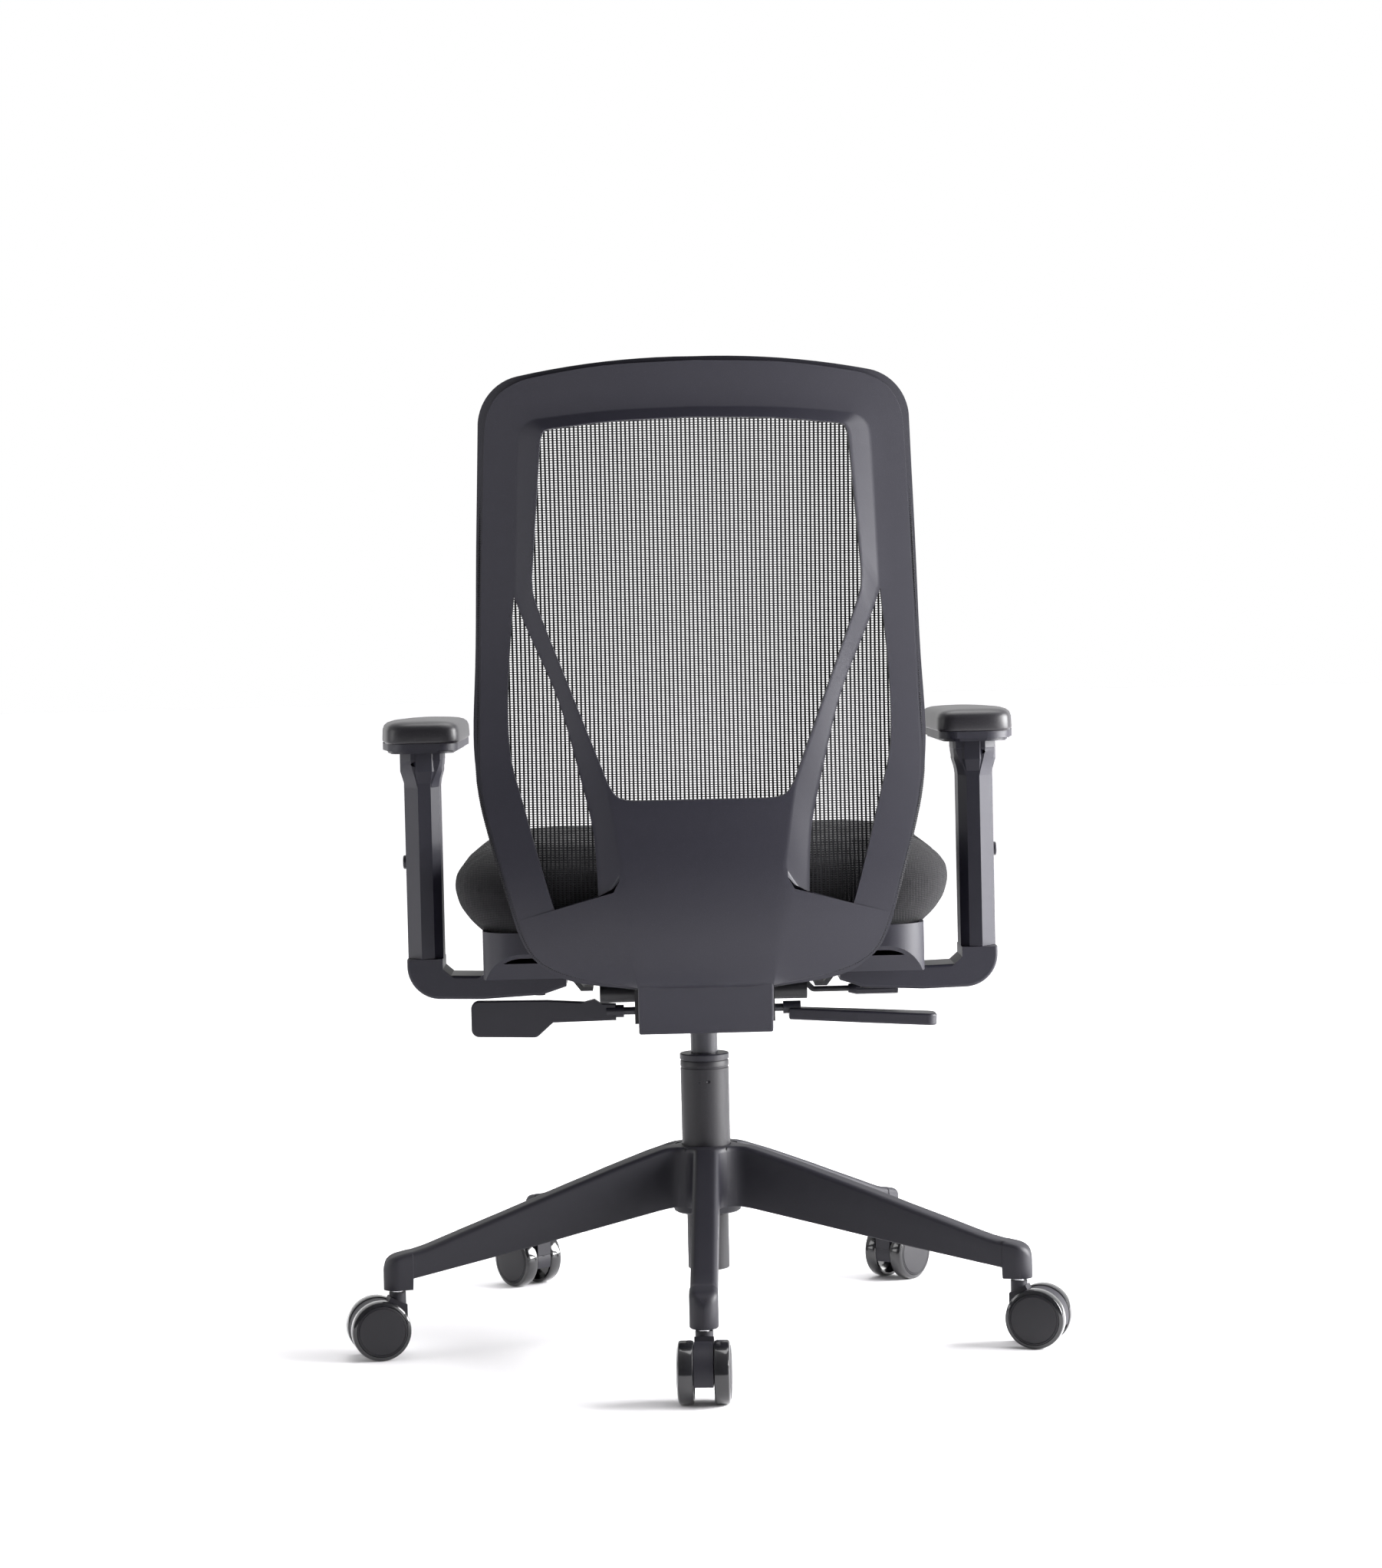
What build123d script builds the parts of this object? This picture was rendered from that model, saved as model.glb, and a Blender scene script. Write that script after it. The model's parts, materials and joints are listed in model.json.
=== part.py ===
"""Swivel office chair with a mesh back, height-adjustable arms and five twin-wheel casters.

Frame: origin on the floor on the swivel axis, +Z up, the sitter faces +Y, sizes in millimetres.
Bodies, from the floor up: base, piston, mechanism (with its levers), back, seat, arms, casters.
"""

import os
from math import cos, radians, sin

from build123d import *

os.makedirs("parts", exist_ok=True)

# --- star base and gas lift ---------------------------------------------------------------------
LEG_COUNT = 5
LEG_START = -91.8            # direction of the leg under the backrest, degrees from +X
LEG_PITCH = 360 / LEG_COUNT
SOCKET_RADIUS = 330          # swivel axis to caster stem
SOCKET_BOTTOM = 68
SOCKET_WALL_R = 14
LEG_TIP_TOP = 105
HUB_TOP = 195
HUB_BOTTOM = 133
HUB_R = 36
LEG_HALF_WIDTH = 13
COLUMN_R = 25
COLUMN_FOOT_R = 21.5
COLUMN_BORE_R = 19
COLUMN_TOP = 283
COLUMN_FOOT = 66
BUSH_TOP = 290
TUBE_R = 14                  # sliding pressure tube
TUBE_WALL = 1.5
TUBE_FOOT = 95
TUBE_CONE_START = 318
TUBE_TOP = 370
TUBE_TOP_R = 12.8
ROD_R = 5
FIT = 0.05                   # radial running clearance
GAP = 0.3                    # clearance between parts that move apart

# --- casters ------------------------------------------------------------------------------------
WHEEL_R = 30
WHEEL_INNER = 9.6            # from the caster's mid plane to the wheel's inner face
WHEEL_WIDTH = 16.4
CASTER_TRAIL = 20
FORK_HALF = 9.25
NECK_R = 8.5
NECK_TOP = 65.5
STEM_R = 5.5
STEM_TOP = 96
AXLE_R = 3
CASTER_HEADINGS = (-92.6, -18.8, 50.3, 132.3, 193.2)   # trailing directions at rest

# --- mechanism ----------------------------------------------------------------------------------
HOUSING_HALF = 65
HOUSING_REAR, HOUSING_FRONT = -105, 100
HOUSING_BOTTOM, HOUSING_TOP = 326, 370
SHEET = 3
TILT_Y, TILT_Z = -40, 357
SEAT_PIVOT_Y, SEAT_PIVOT_Z = 20, 358
TILT_AXLE_R = 5
SEAT_AXLE_R = 4
SHAFT_Y, SHAFT_Z, SHAFT_R = -20, 337, 4
CRANK_Y, CRANK_Z, CRANK_R = 45, 359, 3
CRANK_THROW = 10.5
BRACKET_INNER, BRACKET_OUTER = 66.4, 70

# --- back ---------------------------------------------------------------------------------------
BACK_PROFILE = [(-198, 366), (-224, 392), (-240, 430), (-245, 480), (-241, 545), (-236, 620),
                (-240, 720), (-262, 850), (-295, 1000)]
BACK_CURVE_Y = 650           # the back wraps round a vertical axis in front of the sitter
BACK_HALF_ANGLE = 15.5
BACK_WALL = 12
CARRIER_WALL = 5
MESH_WALL = 1.5
SPINE_PROUD = 7
FOOT_HALF = 66
FOOT_BOTTOM = 331
FOOT_FRONT = -128.5

# --- seat ---------------------------------------------------------------------------------------
SEAT_FRONT = 265
SEAT_REAR = -205
SEAT_HALF = 253.5
SEAT_TOP = 513
CUSHION_BOTTOM = 421
PAN_HALF = 220
PAN_REAR, PAN_FRONT = -170, 235
PAN_BOTTOM, PAN_TOP = 384, 432
CHANNEL_HALF = 131
PLATE_BOTTOM, PLATE_TOP = 393, 397

# --- arms ---------------------------------------------------------------------------------------
ARM_SEAM = 397               # sleeve meets bracket
SLEEVE_TOP = 577
NECK_BLOCK_TOP = 608.7
ARM_INNER, ARM_OUTER = 265.5, 302
ARM_REAR, ARM_FRONT = -46, 15
BAR_X, BAR_Y = 284, -15      # centre of the inner bar
BAR_WIDTH, BAR_DEPTH = 20, 34
PAD_BOTTOM, PAD_SEAM, PAD_TOP = 609, 619, 642
BUTTON_Z = 495


def finish(piece, name):
    """Label a finished piece and write its STEP file."""
    piece.part.label = name
    export_step(piece.part, f"parts/{name}.step")


def mirrored(piece):
    """The same piece for the other side of the chair."""
    with BuildPart() as other:
        add(mirror(piece.part, about=Plane.YZ, mode=Mode.PRIVATE))
    return other


def finish_pair(piece, name):
    """Write a right-hand piece and its left-hand mirror image."""
    finish(piece, f"{name}_right")
    finish(mirrored(piece), f"{name}_left")


def cross_cylinder(x_start, x_end, y, z, radius, mode=Mode.ADD):
    """A cylinder along X between two stations."""
    with BuildSketch(Plane.YZ.offset(x_start)) as section:
        with Locations((y, z)):
            Circle(radius)
    extrude(section.sketch, amount=x_end - x_start, mode=mode)


def grown(points, centre, half_size, border):
    """Outline points moved out (or in) by a border, by scaling about the outline's centre."""
    factors = [1 + border / half for half in half_size]
    return [(centre[0] + (x - centre[0]) * factors[0], centre[1] + (y - centre[1]) * factors[1])
            for x, y in points]


BOLT_HEAD_R, BOLT_SHANK_R = 5.5, 3


def bolt(x, y, head_z, head_height, shank_length):
    """A pan-head bolt driven upwards from below."""
    with Locations((x, y, head_z)):
        Cylinder(BOLT_HEAD_R, head_height, align=(Align.CENTER, Align.CENTER, Align.MIN))
    with Locations((x, y, head_z + head_height)):
        Cylinder(BOLT_SHANK_R, shank_length, align=(Align.CENTER, Align.CENTER, Align.MIN))


# =================================================================================================
# Base: five-leg star with a conical hub bore and blind caster sockets
# =================================================================================================
with BuildPart() as leg:
    with BuildSketch(Plane.XZ):
        with BuildLine():
            Polyline(
                (0, HUB_BOTTOM), (0, HUB_TOP), (HUB_R + 4, HUB_TOP),
                (SOCKET_RADIUS - 20, LEG_TIP_TOP + 2), (SOCKET_RADIUS + SOCKET_WALL_R, LEG_TIP_TOP - 3),
                (SOCKET_RADIUS + SOCKET_WALL_R, SOCKET_BOTTOM),
                (SOCKET_RADIUS - SOCKET_WALL_R, SOCKET_BOTTOM),
                (SOCKET_RADIUS - SOCKET_WALL_R, SOCKET_BOTTOM + 11), (HUB_R, HUB_BOTTOM),
                close=True)
        make_face()
    extrude(amount=LEG_HALF_WIDTH, both=True)
    long_top = leg.faces().filter_by(lambda f: f.normal_at().Z > 0.5).edges()
    fillet(long_top.filter_by(lambda e: e.length > 100), radius=5)
    tip = leg.edges().filter_by(Axis.Z).sort_by(Axis.X)[-2:]
    fillet(tip, radius=8)

with BuildPart() as star_base:
    with PolarLocations(0, LEG_COUNT, start_angle=LEG_START):
        add(leg.part)
    with BuildSketch(Plane.XY.offset(HUB_BOTTOM)):
        Circle(HUB_R)
    extrude(amount=HUB_TOP - HUB_BOTTOM)
    with BuildSketch(Plane.XY.offset(HUB_BOTTOM - 8)):
        Circle(COLUMN_R + 5)
    extrude(amount=8)
    with BuildSketch(Plane.XY.offset(HUB_TOP)):
        Circle(COLUMN_R)
    with BuildSketch(Plane.XY.offset(HUB_BOTTOM - 8)):
        Circle(COLUMN_FOOT_R)
    loft(mode=Mode.SUBTRACT)
    with PolarLocations(SOCKET_RADIUS, LEG_COUNT, start_angle=LEG_START):
        with Locations((0, 0, SOCKET_BOTTOM)):
            Cylinder(STEM_R + FIT, STEM_TOP + 1 - SOCKET_BOTTOM, mode=Mode.SUBTRACT,
                     align=(Align.CENTER, Align.CENTER, Align.MIN))
finish(star_base, "star_base")

# Outer column: straight above the hub, conical in the hub, straight again below it
with BuildPart() as gas_column:
    with BuildSketch(Plane.XZ):
        with BuildLine():
            Polyline(
                (ROD_R + FIT, COLUMN_FOOT), (COLUMN_FOOT_R, COLUMN_FOOT),
                (COLUMN_FOOT_R, HUB_BOTTOM - 8), (COLUMN_R, HUB_TOP), (COLUMN_R, COLUMN_TOP),
                (COLUMN_BORE_R, COLUMN_TOP), (COLUMN_BORE_R, COLUMN_FOOT + 4),
                (ROD_R + FIT, COLUMN_FOOT + 4), close=True)
        make_face()
    revolve(axis=Axis.Z)
finish(gas_column, "gas_column")

# Guide bush: plastic sleeve inside the column with a collar on top
BUSH_FOOT = 205
with BuildPart() as guide_bush:
    with BuildSketch(Plane.XZ):
        with BuildLine():
            Polyline(
                (TUBE_R + FIT, BUSH_FOOT), (COLUMN_BORE_R, BUSH_FOOT), (COLUMN_BORE_R, COLUMN_TOP),
                (COLUMN_R - 1.2, COLUMN_TOP), (COLUMN_R - 1.2, COLUMN_TOP + 1.2),
                (COLUMN_R + 0.5, COLUMN_TOP + 1.2), (COLUMN_R + 0.5, BUSH_TOP - 1),
                (COLUMN_R - 0.5, BUSH_TOP), (TUBE_R + FIT, BUSH_TOP), close=True)
        make_face()
    revolve(axis=Axis.Z)
finish(guide_bush, "guide_bush")

# Thrust bearing: two washers and a ring of balls under the rod's shoulder
BEARING_FOOT = COLUMN_FOOT + 4
with BuildPart() as thrust_bearing:
    for washer_z in (BEARING_FOOT, BEARING_FOOT + 5):
        with BuildSketch(Plane.XY.offset(washer_z)):
            Circle(13)
            Circle(ROD_R + 0.5, mode=Mode.SUBTRACT)
        extrude(amount=1.5)
    with PolarLocations(9, 8):
        with Locations((0, 0, BEARING_FOOT + 3.25)):
            Sphere(1.9)
finish(thrust_bearing, "thrust_bearing")

# =================================================================================================
# Piston rod: turns in the column, and the pressure tube slides over its head
# =================================================================================================
ROD_SHOULDER = BEARING_FOOT + 6.5 + 0.2
HEAD_Z = 222
with BuildPart() as piston_rod:
    with BuildSketch(Plane.XZ):
        with BuildLine():
            Polyline(
                (0, 59), (7, 59), (7, COLUMN_FOOT - 0.3), (ROD_R, COLUMN_FOOT - 0.3),
                (ROD_R, ROD_SHOULDER), (11, ROD_SHOULDER), (11, ROD_SHOULDER + 3),
                (ROD_R, ROD_SHOULDER + 3), (ROD_R, HEAD_Z), (0, HEAD_Z), close=True)
        make_face()
    revolve(axis=Axis.Z)
finish(piston_rod, "piston_rod")

with BuildPart() as piston_head:
    with BuildSketch(Plane.XY.offset(HEAD_Z)):
        Circle(TUBE_R - TUBE_WALL - FIT)
    extrude(amount=16)
    chamfer(piston_head.edges(), length=1)
finish(piston_head, "piston_head")

# =================================================================================================
# Mechanism: pressure tube, housing, axles, spring
# =================================================================================================
PIN_R = 4
with BuildPart() as pressure_tube:
    with BuildSketch(Plane.XZ):
        with BuildLine():
            Polyline(
                (ROD_R + FIT, TUBE_FOOT), (TUBE_R, TUBE_FOOT), (TUBE_R, TUBE_CONE_START),
                (TUBE_TOP_R, TUBE_TOP), (PIN_R + FIT, TUBE_TOP), (PIN_R + FIT, TUBE_TOP - 16),
                (TUBE_R - TUBE_WALL, TUBE_TOP - 22), (TUBE_R - TUBE_WALL, TUBE_FOOT + 6),
                (ROD_R + FIT, TUBE_FOOT + 6), close=True)
        make_face()
    revolve(axis=Axis.Z)
finish(pressure_tube, "pressure_tube")

VALVE_TRAVEL = 4.5
VALVE_TOP = 374
with BuildPart() as valve_pin:
    with BuildSketch(Plane.XY.offset(TUBE_TOP - 11)):
        Circle(PIN_R)
    extrude(amount=VALVE_TOP - TUBE_TOP + 11)
    chamfer(valve_pin.edges().sort_by(Axis.Z)[-1], length=0.8)
finish(valve_pin, "valve_pin")

BOSS_R = 22
HOUSING_LENGTH = HOUSING_FRONT - HOUSING_REAR
HOUSING_MID_Y = (HOUSING_FRONT + HOUSING_REAR) / 2
with BuildPart() as mechanism_housing:
    with BuildSketch(Plane.XY.offset(HOUSING_BOTTOM)):
        with Locations((0, HOUSING_MID_Y)):
            RectangleRounded(2 * HOUSING_HALF, HOUSING_LENGTH, 10)
    extrude(amount=HOUSING_TOP - HOUSING_BOTTOM)
    with BuildSketch(Plane.XY.offset(HOUSING_BOTTOM + SHEET)):
        with Locations((0, HOUSING_MID_Y)):
            RectangleRounded(2 * (HOUSING_HALF - SHEET), HOUSING_LENGTH - 2 * SHEET, 7)
    extrude(amount=HOUSING_TOP - HOUSING_BOTTOM, mode=Mode.SUBTRACT)
    fillet(mechanism_housing.faces().sort_by(Axis.Z)[0].outer_wire().edges(), radius=2.5)
    with BuildSketch(Plane.XY.offset(TUBE_CONE_START)):
        Circle(BOSS_R)
    extrude(amount=HOUSING_TOP - 2 - TUBE_CONE_START)
    with BuildSketch(Plane.XZ):
        with BuildLine():
            Polyline((0, TUBE_CONE_START), (TUBE_R, TUBE_CONE_START), (TUBE_TOP_R, TUBE_TOP),
                     (0, TUBE_TOP), close=True)
        make_face()
    revolve(axis=Axis.Z, mode=Mode.SUBTRACT)
    cross_cylinder(-80, 80, TILT_Y, TILT_Z, TILT_AXLE_R + FIT, Mode.SUBTRACT)
    cross_cylinder(-80, 80, SEAT_PIVOT_Y, SEAT_PIVOT_Z, SEAT_AXLE_R + FIT, Mode.SUBTRACT)
    cross_cylinder(50, 80, SHAFT_Y, SHAFT_Z, SHAFT_R + FIT, Mode.SUBTRACT)
    cross_cylinder(-80, -50, SHAFT_Y, SHAFT_Z, SHAFT_R + FIT, Mode.SUBTRACT)
    cross_cylinder(50, 80, CRANK_Y, CRANK_Z, CRANK_R + FIT, Mode.SUBTRACT)
finish(mechanism_housing, "mechanism_housing")

TILT_CAP_R = 9
TILT_CAP_END = 106
with BuildPart() as tilt_axle:
    cross_cylinder(-TILT_CAP_END, TILT_CAP_END, TILT_Y, TILT_Z, TILT_AXLE_R)
    for start in (-TILT_CAP_END, BRACKET_OUTER + GAP):
        cross_cylinder(start, start + TILT_CAP_END - BRACKET_OUTER - GAP, TILT_Y, TILT_Z, TILT_CAP_R)
finish(tilt_axle, "tilt_axle")

with BuildPart() as seat_axle:
    cross_cylinder(-75, 75, SEAT_PIVOT_Y, SEAT_PIVOT_Z, SEAT_AXLE_R)
    for start in (-78, 75):
        cross_cylinder(start, start + 3, SEAT_PIVOT_Y, SEAT_PIVOT_Z, SEAT_AXLE_R + 2.5)
finish(seat_axle, "seat_axle")

SPRING_START, SPRING_LENGTH, SPRING_R, SPRING_Z = 28, 40, 9.5, 344
with BuildPart() as tension_spring:
    with BuildLine():
        coil = Helix(pitch=SPRING_LENGTH / 6, height=SPRING_LENGTH, radius=SPRING_R,
                     center=(0, SPRING_START, SPRING_Z), direction=(0, 1, 0))
    with BuildSketch(Plane(origin=coil @ 0, z_dir=coil % 0)):
        Circle(1.8)
    sweep(is_frenet=True)
finish(tension_spring, "tension_spring")

# =================================================================================================
# Levers and tension crank
# =================================================================================================
FINGER_X = 30
with BuildPart() as height_lever_shaft:
    cross_cylinder(FINGER_X, 100, SHAFT_Y, SHAFT_Z, SHAFT_R)
    with BuildSketch(Plane.YZ.offset(FINGER_X)):
        with Locations((SHAFT_Y, SHAFT_Z)):
            Circle(7)
        with Locations((-14, 356)):
            Rectangle(12, 43)
    extrude(amount=3)
    with BuildSketch(Plane.XY.offset(VALVE_TOP + GAP)):
        with Locations((13.5, -8)):
            Rectangle(39, 24)
    extrude(amount=3.2)
finish(height_lever_shaft, "height_lever_shaft")

PADDLE_ROOT = 88
PADDLE_LENGTH = 151
paddle_plane = Plane(origin=(PADDLE_ROOT, SHAFT_Y, 331),
                     x_dir=(cos(radians(3)), 0, -sin(radians(3))),
                     z_dir=(sin(radians(3)), 0, cos(radians(3))))
with BuildPart() as height_lever:
    with BuildSketch(paddle_plane.offset(-6)) as paddle:
        with BuildLine():
            Polyline((0, -9), (70, -20), (PADDLE_LENGTH, -28), (PADDLE_LENGTH, 6), (70, 9), (0, 9),
                     close=True)
        make_face()
        fillet(paddle.vertices().group_by(Axis.X)[-1], radius=9)
    extrude(amount=12)
    fillet(height_lever.faces().sort_by(Axis.Z)[-1].edges(), radius=2)
    fillet(height_lever.faces().sort_by(Axis.Z)[0].edges(), radius=2)
    cross_cylinder(PADDLE_ROOT - 6, 100, SHAFT_Y, SHAFT_Z, SHAFT_R + 2.5)
    cross_cylinder(PADDLE_ROOT - 7, 100, SHAFT_Y, SHAFT_Z, SHAFT_R, Mode.SUBTRACT)
finish(height_lever, "height_lever")

with BuildPart() as lock_lever_shaft:
    cross_cylinder(-100, -FINGER_X, SHAFT_Y, SHAFT_Z, SHAFT_R)
    cross_cylinder(-FINGER_X - 6, -FINGER_X, SHAFT_Y, SHAFT_Z, 7)
finish(lock_lever_shaft, "lock_lever_shaft")

with BuildPart() as lock_lever:
    with BuildSketch(Plane.XZ.offset(-SHAFT_Y - 5)) as paddle:
        with BuildLine():
            Polyline((-90, 328), (-90, 345), (-106, 346), (-112, 350), (-122, 347.5), (-160, 350),
                     (-239, 351), (-239, 314), (-172, 312), (-155, 327), close=True)
        make_face()
        fillet(paddle.vertices().group_by(Axis.X)[0], radius=8)
        fillet(paddle.vertices().sort_by(Axis.Y)[0], radius=8)
    extrude(amount=10)
    fillet(lock_lever.faces().filter_by(Axis.Y).edges().filter_by(lambda e: e.length > 12), radius=1.5)
    cross_cylinder(-100, -PADDLE_ROOT + 6, SHAFT_Y, SHAFT_Z, SHAFT_R + 2.5)
    cross_cylinder(-100, -PADDLE_ROOT + 7, SHAFT_Y, SHAFT_Z, SHAFT_R, Mode.SUBTRACT)
finish(lock_lever, "lock_lever")

CRANK_OUT = 106
GRIP_START, GRIP_END = 153, 205
with BuildPart() as tension_crank:
    with BuildLine():
        FilletPolyline((20, CRANK_Y, CRANK_Z), (CRANK_OUT, CRANK_Y, CRANK_Z),
                       (CRANK_OUT + 10, CRANK_Y, CRANK_Z - CRANK_THROW),
                       (GRIP_END - 4, CRANK_Y, CRANK_Z - CRANK_THROW), radius=5)
    with BuildSketch(Plane.YZ.offset(20)):
        with Locations((CRANK_Y, CRANK_Z)):
            Circle(CRANK_R)
    sweep()
finish(tension_crank, "tension_crank")

GRIP_R = 6.5
FLUTES = 10
with BuildPart() as crank_grip:
    with BuildSketch(Plane.YZ.offset(GRIP_START)):
        with Locations((CRANK_Y, CRANK_Z - CRANK_THROW)):
            Circle(GRIP_R - 2)
    with BuildSketch(Plane.YZ.offset(GRIP_START + 8)):
        with Locations((CRANK_Y, CRANK_Z - CRANK_THROW)):
            Circle(GRIP_R)
    loft()
    with BuildSketch(Plane.YZ.offset(GRIP_START + 8)):
        with Locations((CRANK_Y, CRANK_Z - CRANK_THROW)):
            Circle(GRIP_R)
            with PolarLocations(GRIP_R + 0.5, FLUTES):
                Circle(1.1, mode=Mode.SUBTRACT)
    extrude(amount=GRIP_END - GRIP_START - 8)
    cross_cylinder(GRIP_START - 1, GRIP_END - 4, CRANK_Y, CRANK_Z - CRANK_THROW, CRANK_R, Mode.SUBTRACT)
finish(crank_grip, "crank_grip")


# =================================================================================================
# Back: moulded frame on a double-curved wall, mesh carrier, mesh, steel bracket and bolts
# =================================================================================================
def curved_wall(rear, front):
    """Wall between two offsets of the side profile, wrapped round the back's vertical axis."""
    with BuildPart() as wall:
        with BuildSketch(Plane.YZ):
            with BuildLine():
                rear_line = Spline([(y + rear, z) for y, z in BACK_PROFILE])
                front_line = Spline([(y + front, z) for y, z in BACK_PROFILE])
                Line(rear_line @ 0, front_line @ 0)
                Line(rear_line @ 1, front_line @ 1)
            make_face()
        revolve(axis=Axis((0, BACK_CURVE_Y, 0), (0, 0, 1)), revolution_arc=BACK_HALF_ANGLE)
        mirror(about=Plane.YZ)
    return wall.part


def outer_outline(grow=0):
    """Outline of the back seen from behind, grown or shrunk by a border."""
    with BuildSketch(Plane.XZ) as outline:
        with BuildLine():
            points = grown([(0, 982), (84, 979), (165, 968), (203.5, 926), (210, 790), (214.5, 683),
                            (216.5, 605), (205, 541), (188, 476), (171, 422), (148, 398), (108, 385),
                            (FOOT_HALF, 380), (0, 380)],
                           centre=(0, 681), half_size=(216.5, 301), border=grow)
            top = ThreePointArc(*points[0:3])
            corner = TangentArc(top @ 1, points[3], tangent=top % 1)
            Spline(corner @ 1, *points[4:13])
            Line(points[12], points[13])
            mirror(about=Plane.YZ)
        make_face()
    return outline.sketch


def main_window():
    """The large opening above the spine."""
    with BuildSketch(Plane.XZ) as window:
        with BuildLine():
            top = ThreePointArc((0, 928), (75, 926), (146, 919))
            Polyline(top @ 1, (160, 771), (84, 563), (0, 563))
            mirror(about=Plane.YZ)
        make_face()
        fillet(window.vertices().filter_by(lambda v: abs(v.X) > 1 and v.Y > 900), radius=9)
        fillet(window.vertices().filter_by(lambda v: abs(v.X) > 1 and v.Y < 600), radius=18)
    return window.sketch


def side_windows():
    """The openings between the rim and the arms of the spine."""
    with BuildSketch(Plane.XZ) as windows:
        with BuildLine():
            inner = ThreePointArc((176, 761), (134.5, 655), (106, 545))
            low = Line(inner @ 1, (102.5, 468))
            bottom = Spline(low @ 1, (109, 448), (120, 442.5), (133, 449), (147.5, 467))
            rise = Line(bottom @ 1, (181, 590))
            Spline(rise @ 1, (185.8, 625), (183, 683), (176, 761))
        make_face()
        mirror(about=Plane.YZ)
    return windows.sketch


THROUGH = 340
frame_wall = curved_wall(0, BACK_WALL)
ridge_wall = curved_wall(-SPINE_PROUD, 2)
carrier_wall = curved_wall(BACK_WALL, BACK_WALL + CARRIER_WALL)
mesh_wall = curved_wall(BACK_WALL + CARRIER_WALL, BACK_WALL + CARRIER_WALL + MESH_WALL)

CARRIER_GROW = 3.5
CARRIER_WIDTH = 20
with BuildPart() as mesh_frame:
    add(carrier_wall)
    extrude(outer_outline(CARRIER_GROW), amount=THROUGH, mode=Mode.INTERSECT)
    extrude(outer_outline(CARRIER_GROW - CARRIER_WIDTH), amount=THROUGH, mode=Mode.SUBTRACT)
finish(mesh_frame, "mesh_frame")

with BuildPart() as back_mesh:
    add(mesh_wall)
    extrude(outer_outline(CARRIER_GROW), amount=THROUGH, mode=Mode.INTERSECT)
finish(back_mesh, "back_mesh")

BOLT_Y = -155
with BuildPart() as back_bolts:
    for x in (-29, 29):
        bolt(x, BOLT_Y, FOOT_BOTTOM - 2.5, 2.5, 24)
finish(back_bolts, "back_bolts")

with BuildPart() as spine_ridge:
    add(ridge_wall)
    with BuildSketch(Plane.XZ):
        with BuildLine():
            Polyline((0, 561), (82, 561), (73, 500), (67, 430), (FOOT_HALF, 380), (0, 380))
            mirror(about=Plane.YZ)
        make_face()
    extrude(amount=THROUGH, mode=Mode.INTERSECT)

with BuildPart() as back_frame:
    add(frame_wall)
    extrude(outer_outline(), amount=THROUGH, mode=Mode.INTERSECT)
    extrude(main_window(), amount=THROUGH, mode=Mode.SUBTRACT)
    extrude(side_windows(), amount=THROUGH, mode=Mode.SUBTRACT)
    add(spine_ridge.part)
    with BuildSketch(Plane.YZ):
        with BuildLine():
            Polyline((FOOT_FRONT, FOOT_BOTTOM), (-190, FOOT_BOTTOM), (-214, 380), (-238, 410),
                     (-247, 450), (-240, 475), (-234, 470), (-226, 432), (-206, 404), (-176, 384),
                     (FOOT_FRONT, 374), close=True)
        make_face()
    extrude(amount=FOOT_HALF, both=True)
    with BuildSketch(Plane.XY.offset(345)):
        with Locations((0, -150)):
            Rectangle(104, 50)
    extrude(amount=5, mode=Mode.SUBTRACT)
    for neighbour in (back_bolts, mesh_frame, back_mesh):
        add(neighbour.part, mode=Mode.SUBTRACT)
finish(back_frame, "back_frame")

# Steel bracket: two side plates on the tilt axle, a cross plate and a tongue inside the foot
TONGUE_BOTTOM, TONGUE_TOP = 345, 350
BRACKET_REAR = -128.2
with BuildPart() as back_bracket:
    with BuildSketch(Plane.YZ.offset(BRACKET_INNER)):
        with BuildLine():
            Polyline((BRACKET_REAR, 335), (BRACKET_REAR, 374), (TILT_Y, 368), (TILT_Y, 346), close=True)
        make_face()
        with Locations((TILT_Y, TILT_Z)):
            Circle(11.5)
    extrude(amount=BRACKET_OUTER - BRACKET_INNER)
    mirror(about=Plane.YZ)
    with BuildSketch(Plane.XZ.offset(-BRACKET_REAR - 4)):
        with Locations((0, 354.5)):
            Rectangle(2 * BRACKET_OUTER, 39)
    extrude(amount=4)
    with BuildSketch(Plane.XY.offset(TONGUE_BOTTOM)):
        with Locations((0, -148.2)):
            Rectangle(100, 45)
    extrude(amount=TONGUE_TOP - TONGUE_BOTTOM)
    cross_cylinder(-80, 80, TILT_Y, TILT_Z, TILT_AXLE_R + FIT, Mode.SUBTRACT)
    add(back_bolts.part, mode=Mode.SUBTRACT)
finish(back_bracket, "back_bracket")


# =================================================================================================
# Seat: hinged steel plate, plastic pan, cushion and screws
# =================================================================================================
with BuildPart() as seat_bolts:
    for x in (-95, 95):
        for y in (-75, 75):
            bolt(x, y, PLATE_BOTTOM - 3, 3, PLATE_TOP - PLATE_BOTTOM + 3)
finish(seat_bolts, "seat_bolts")

ARM_BOLT_X = (168, 190, 210)
with BuildPart() as arm_bolts:
    for side in (-1, 1):
        for x in ARM_BOLT_X:
            bolt(side * x, BAR_Y, 355, 4, PAN_BOTTOM + 10 - 359)
finish(arm_bolts, "arm_bolts")

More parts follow.
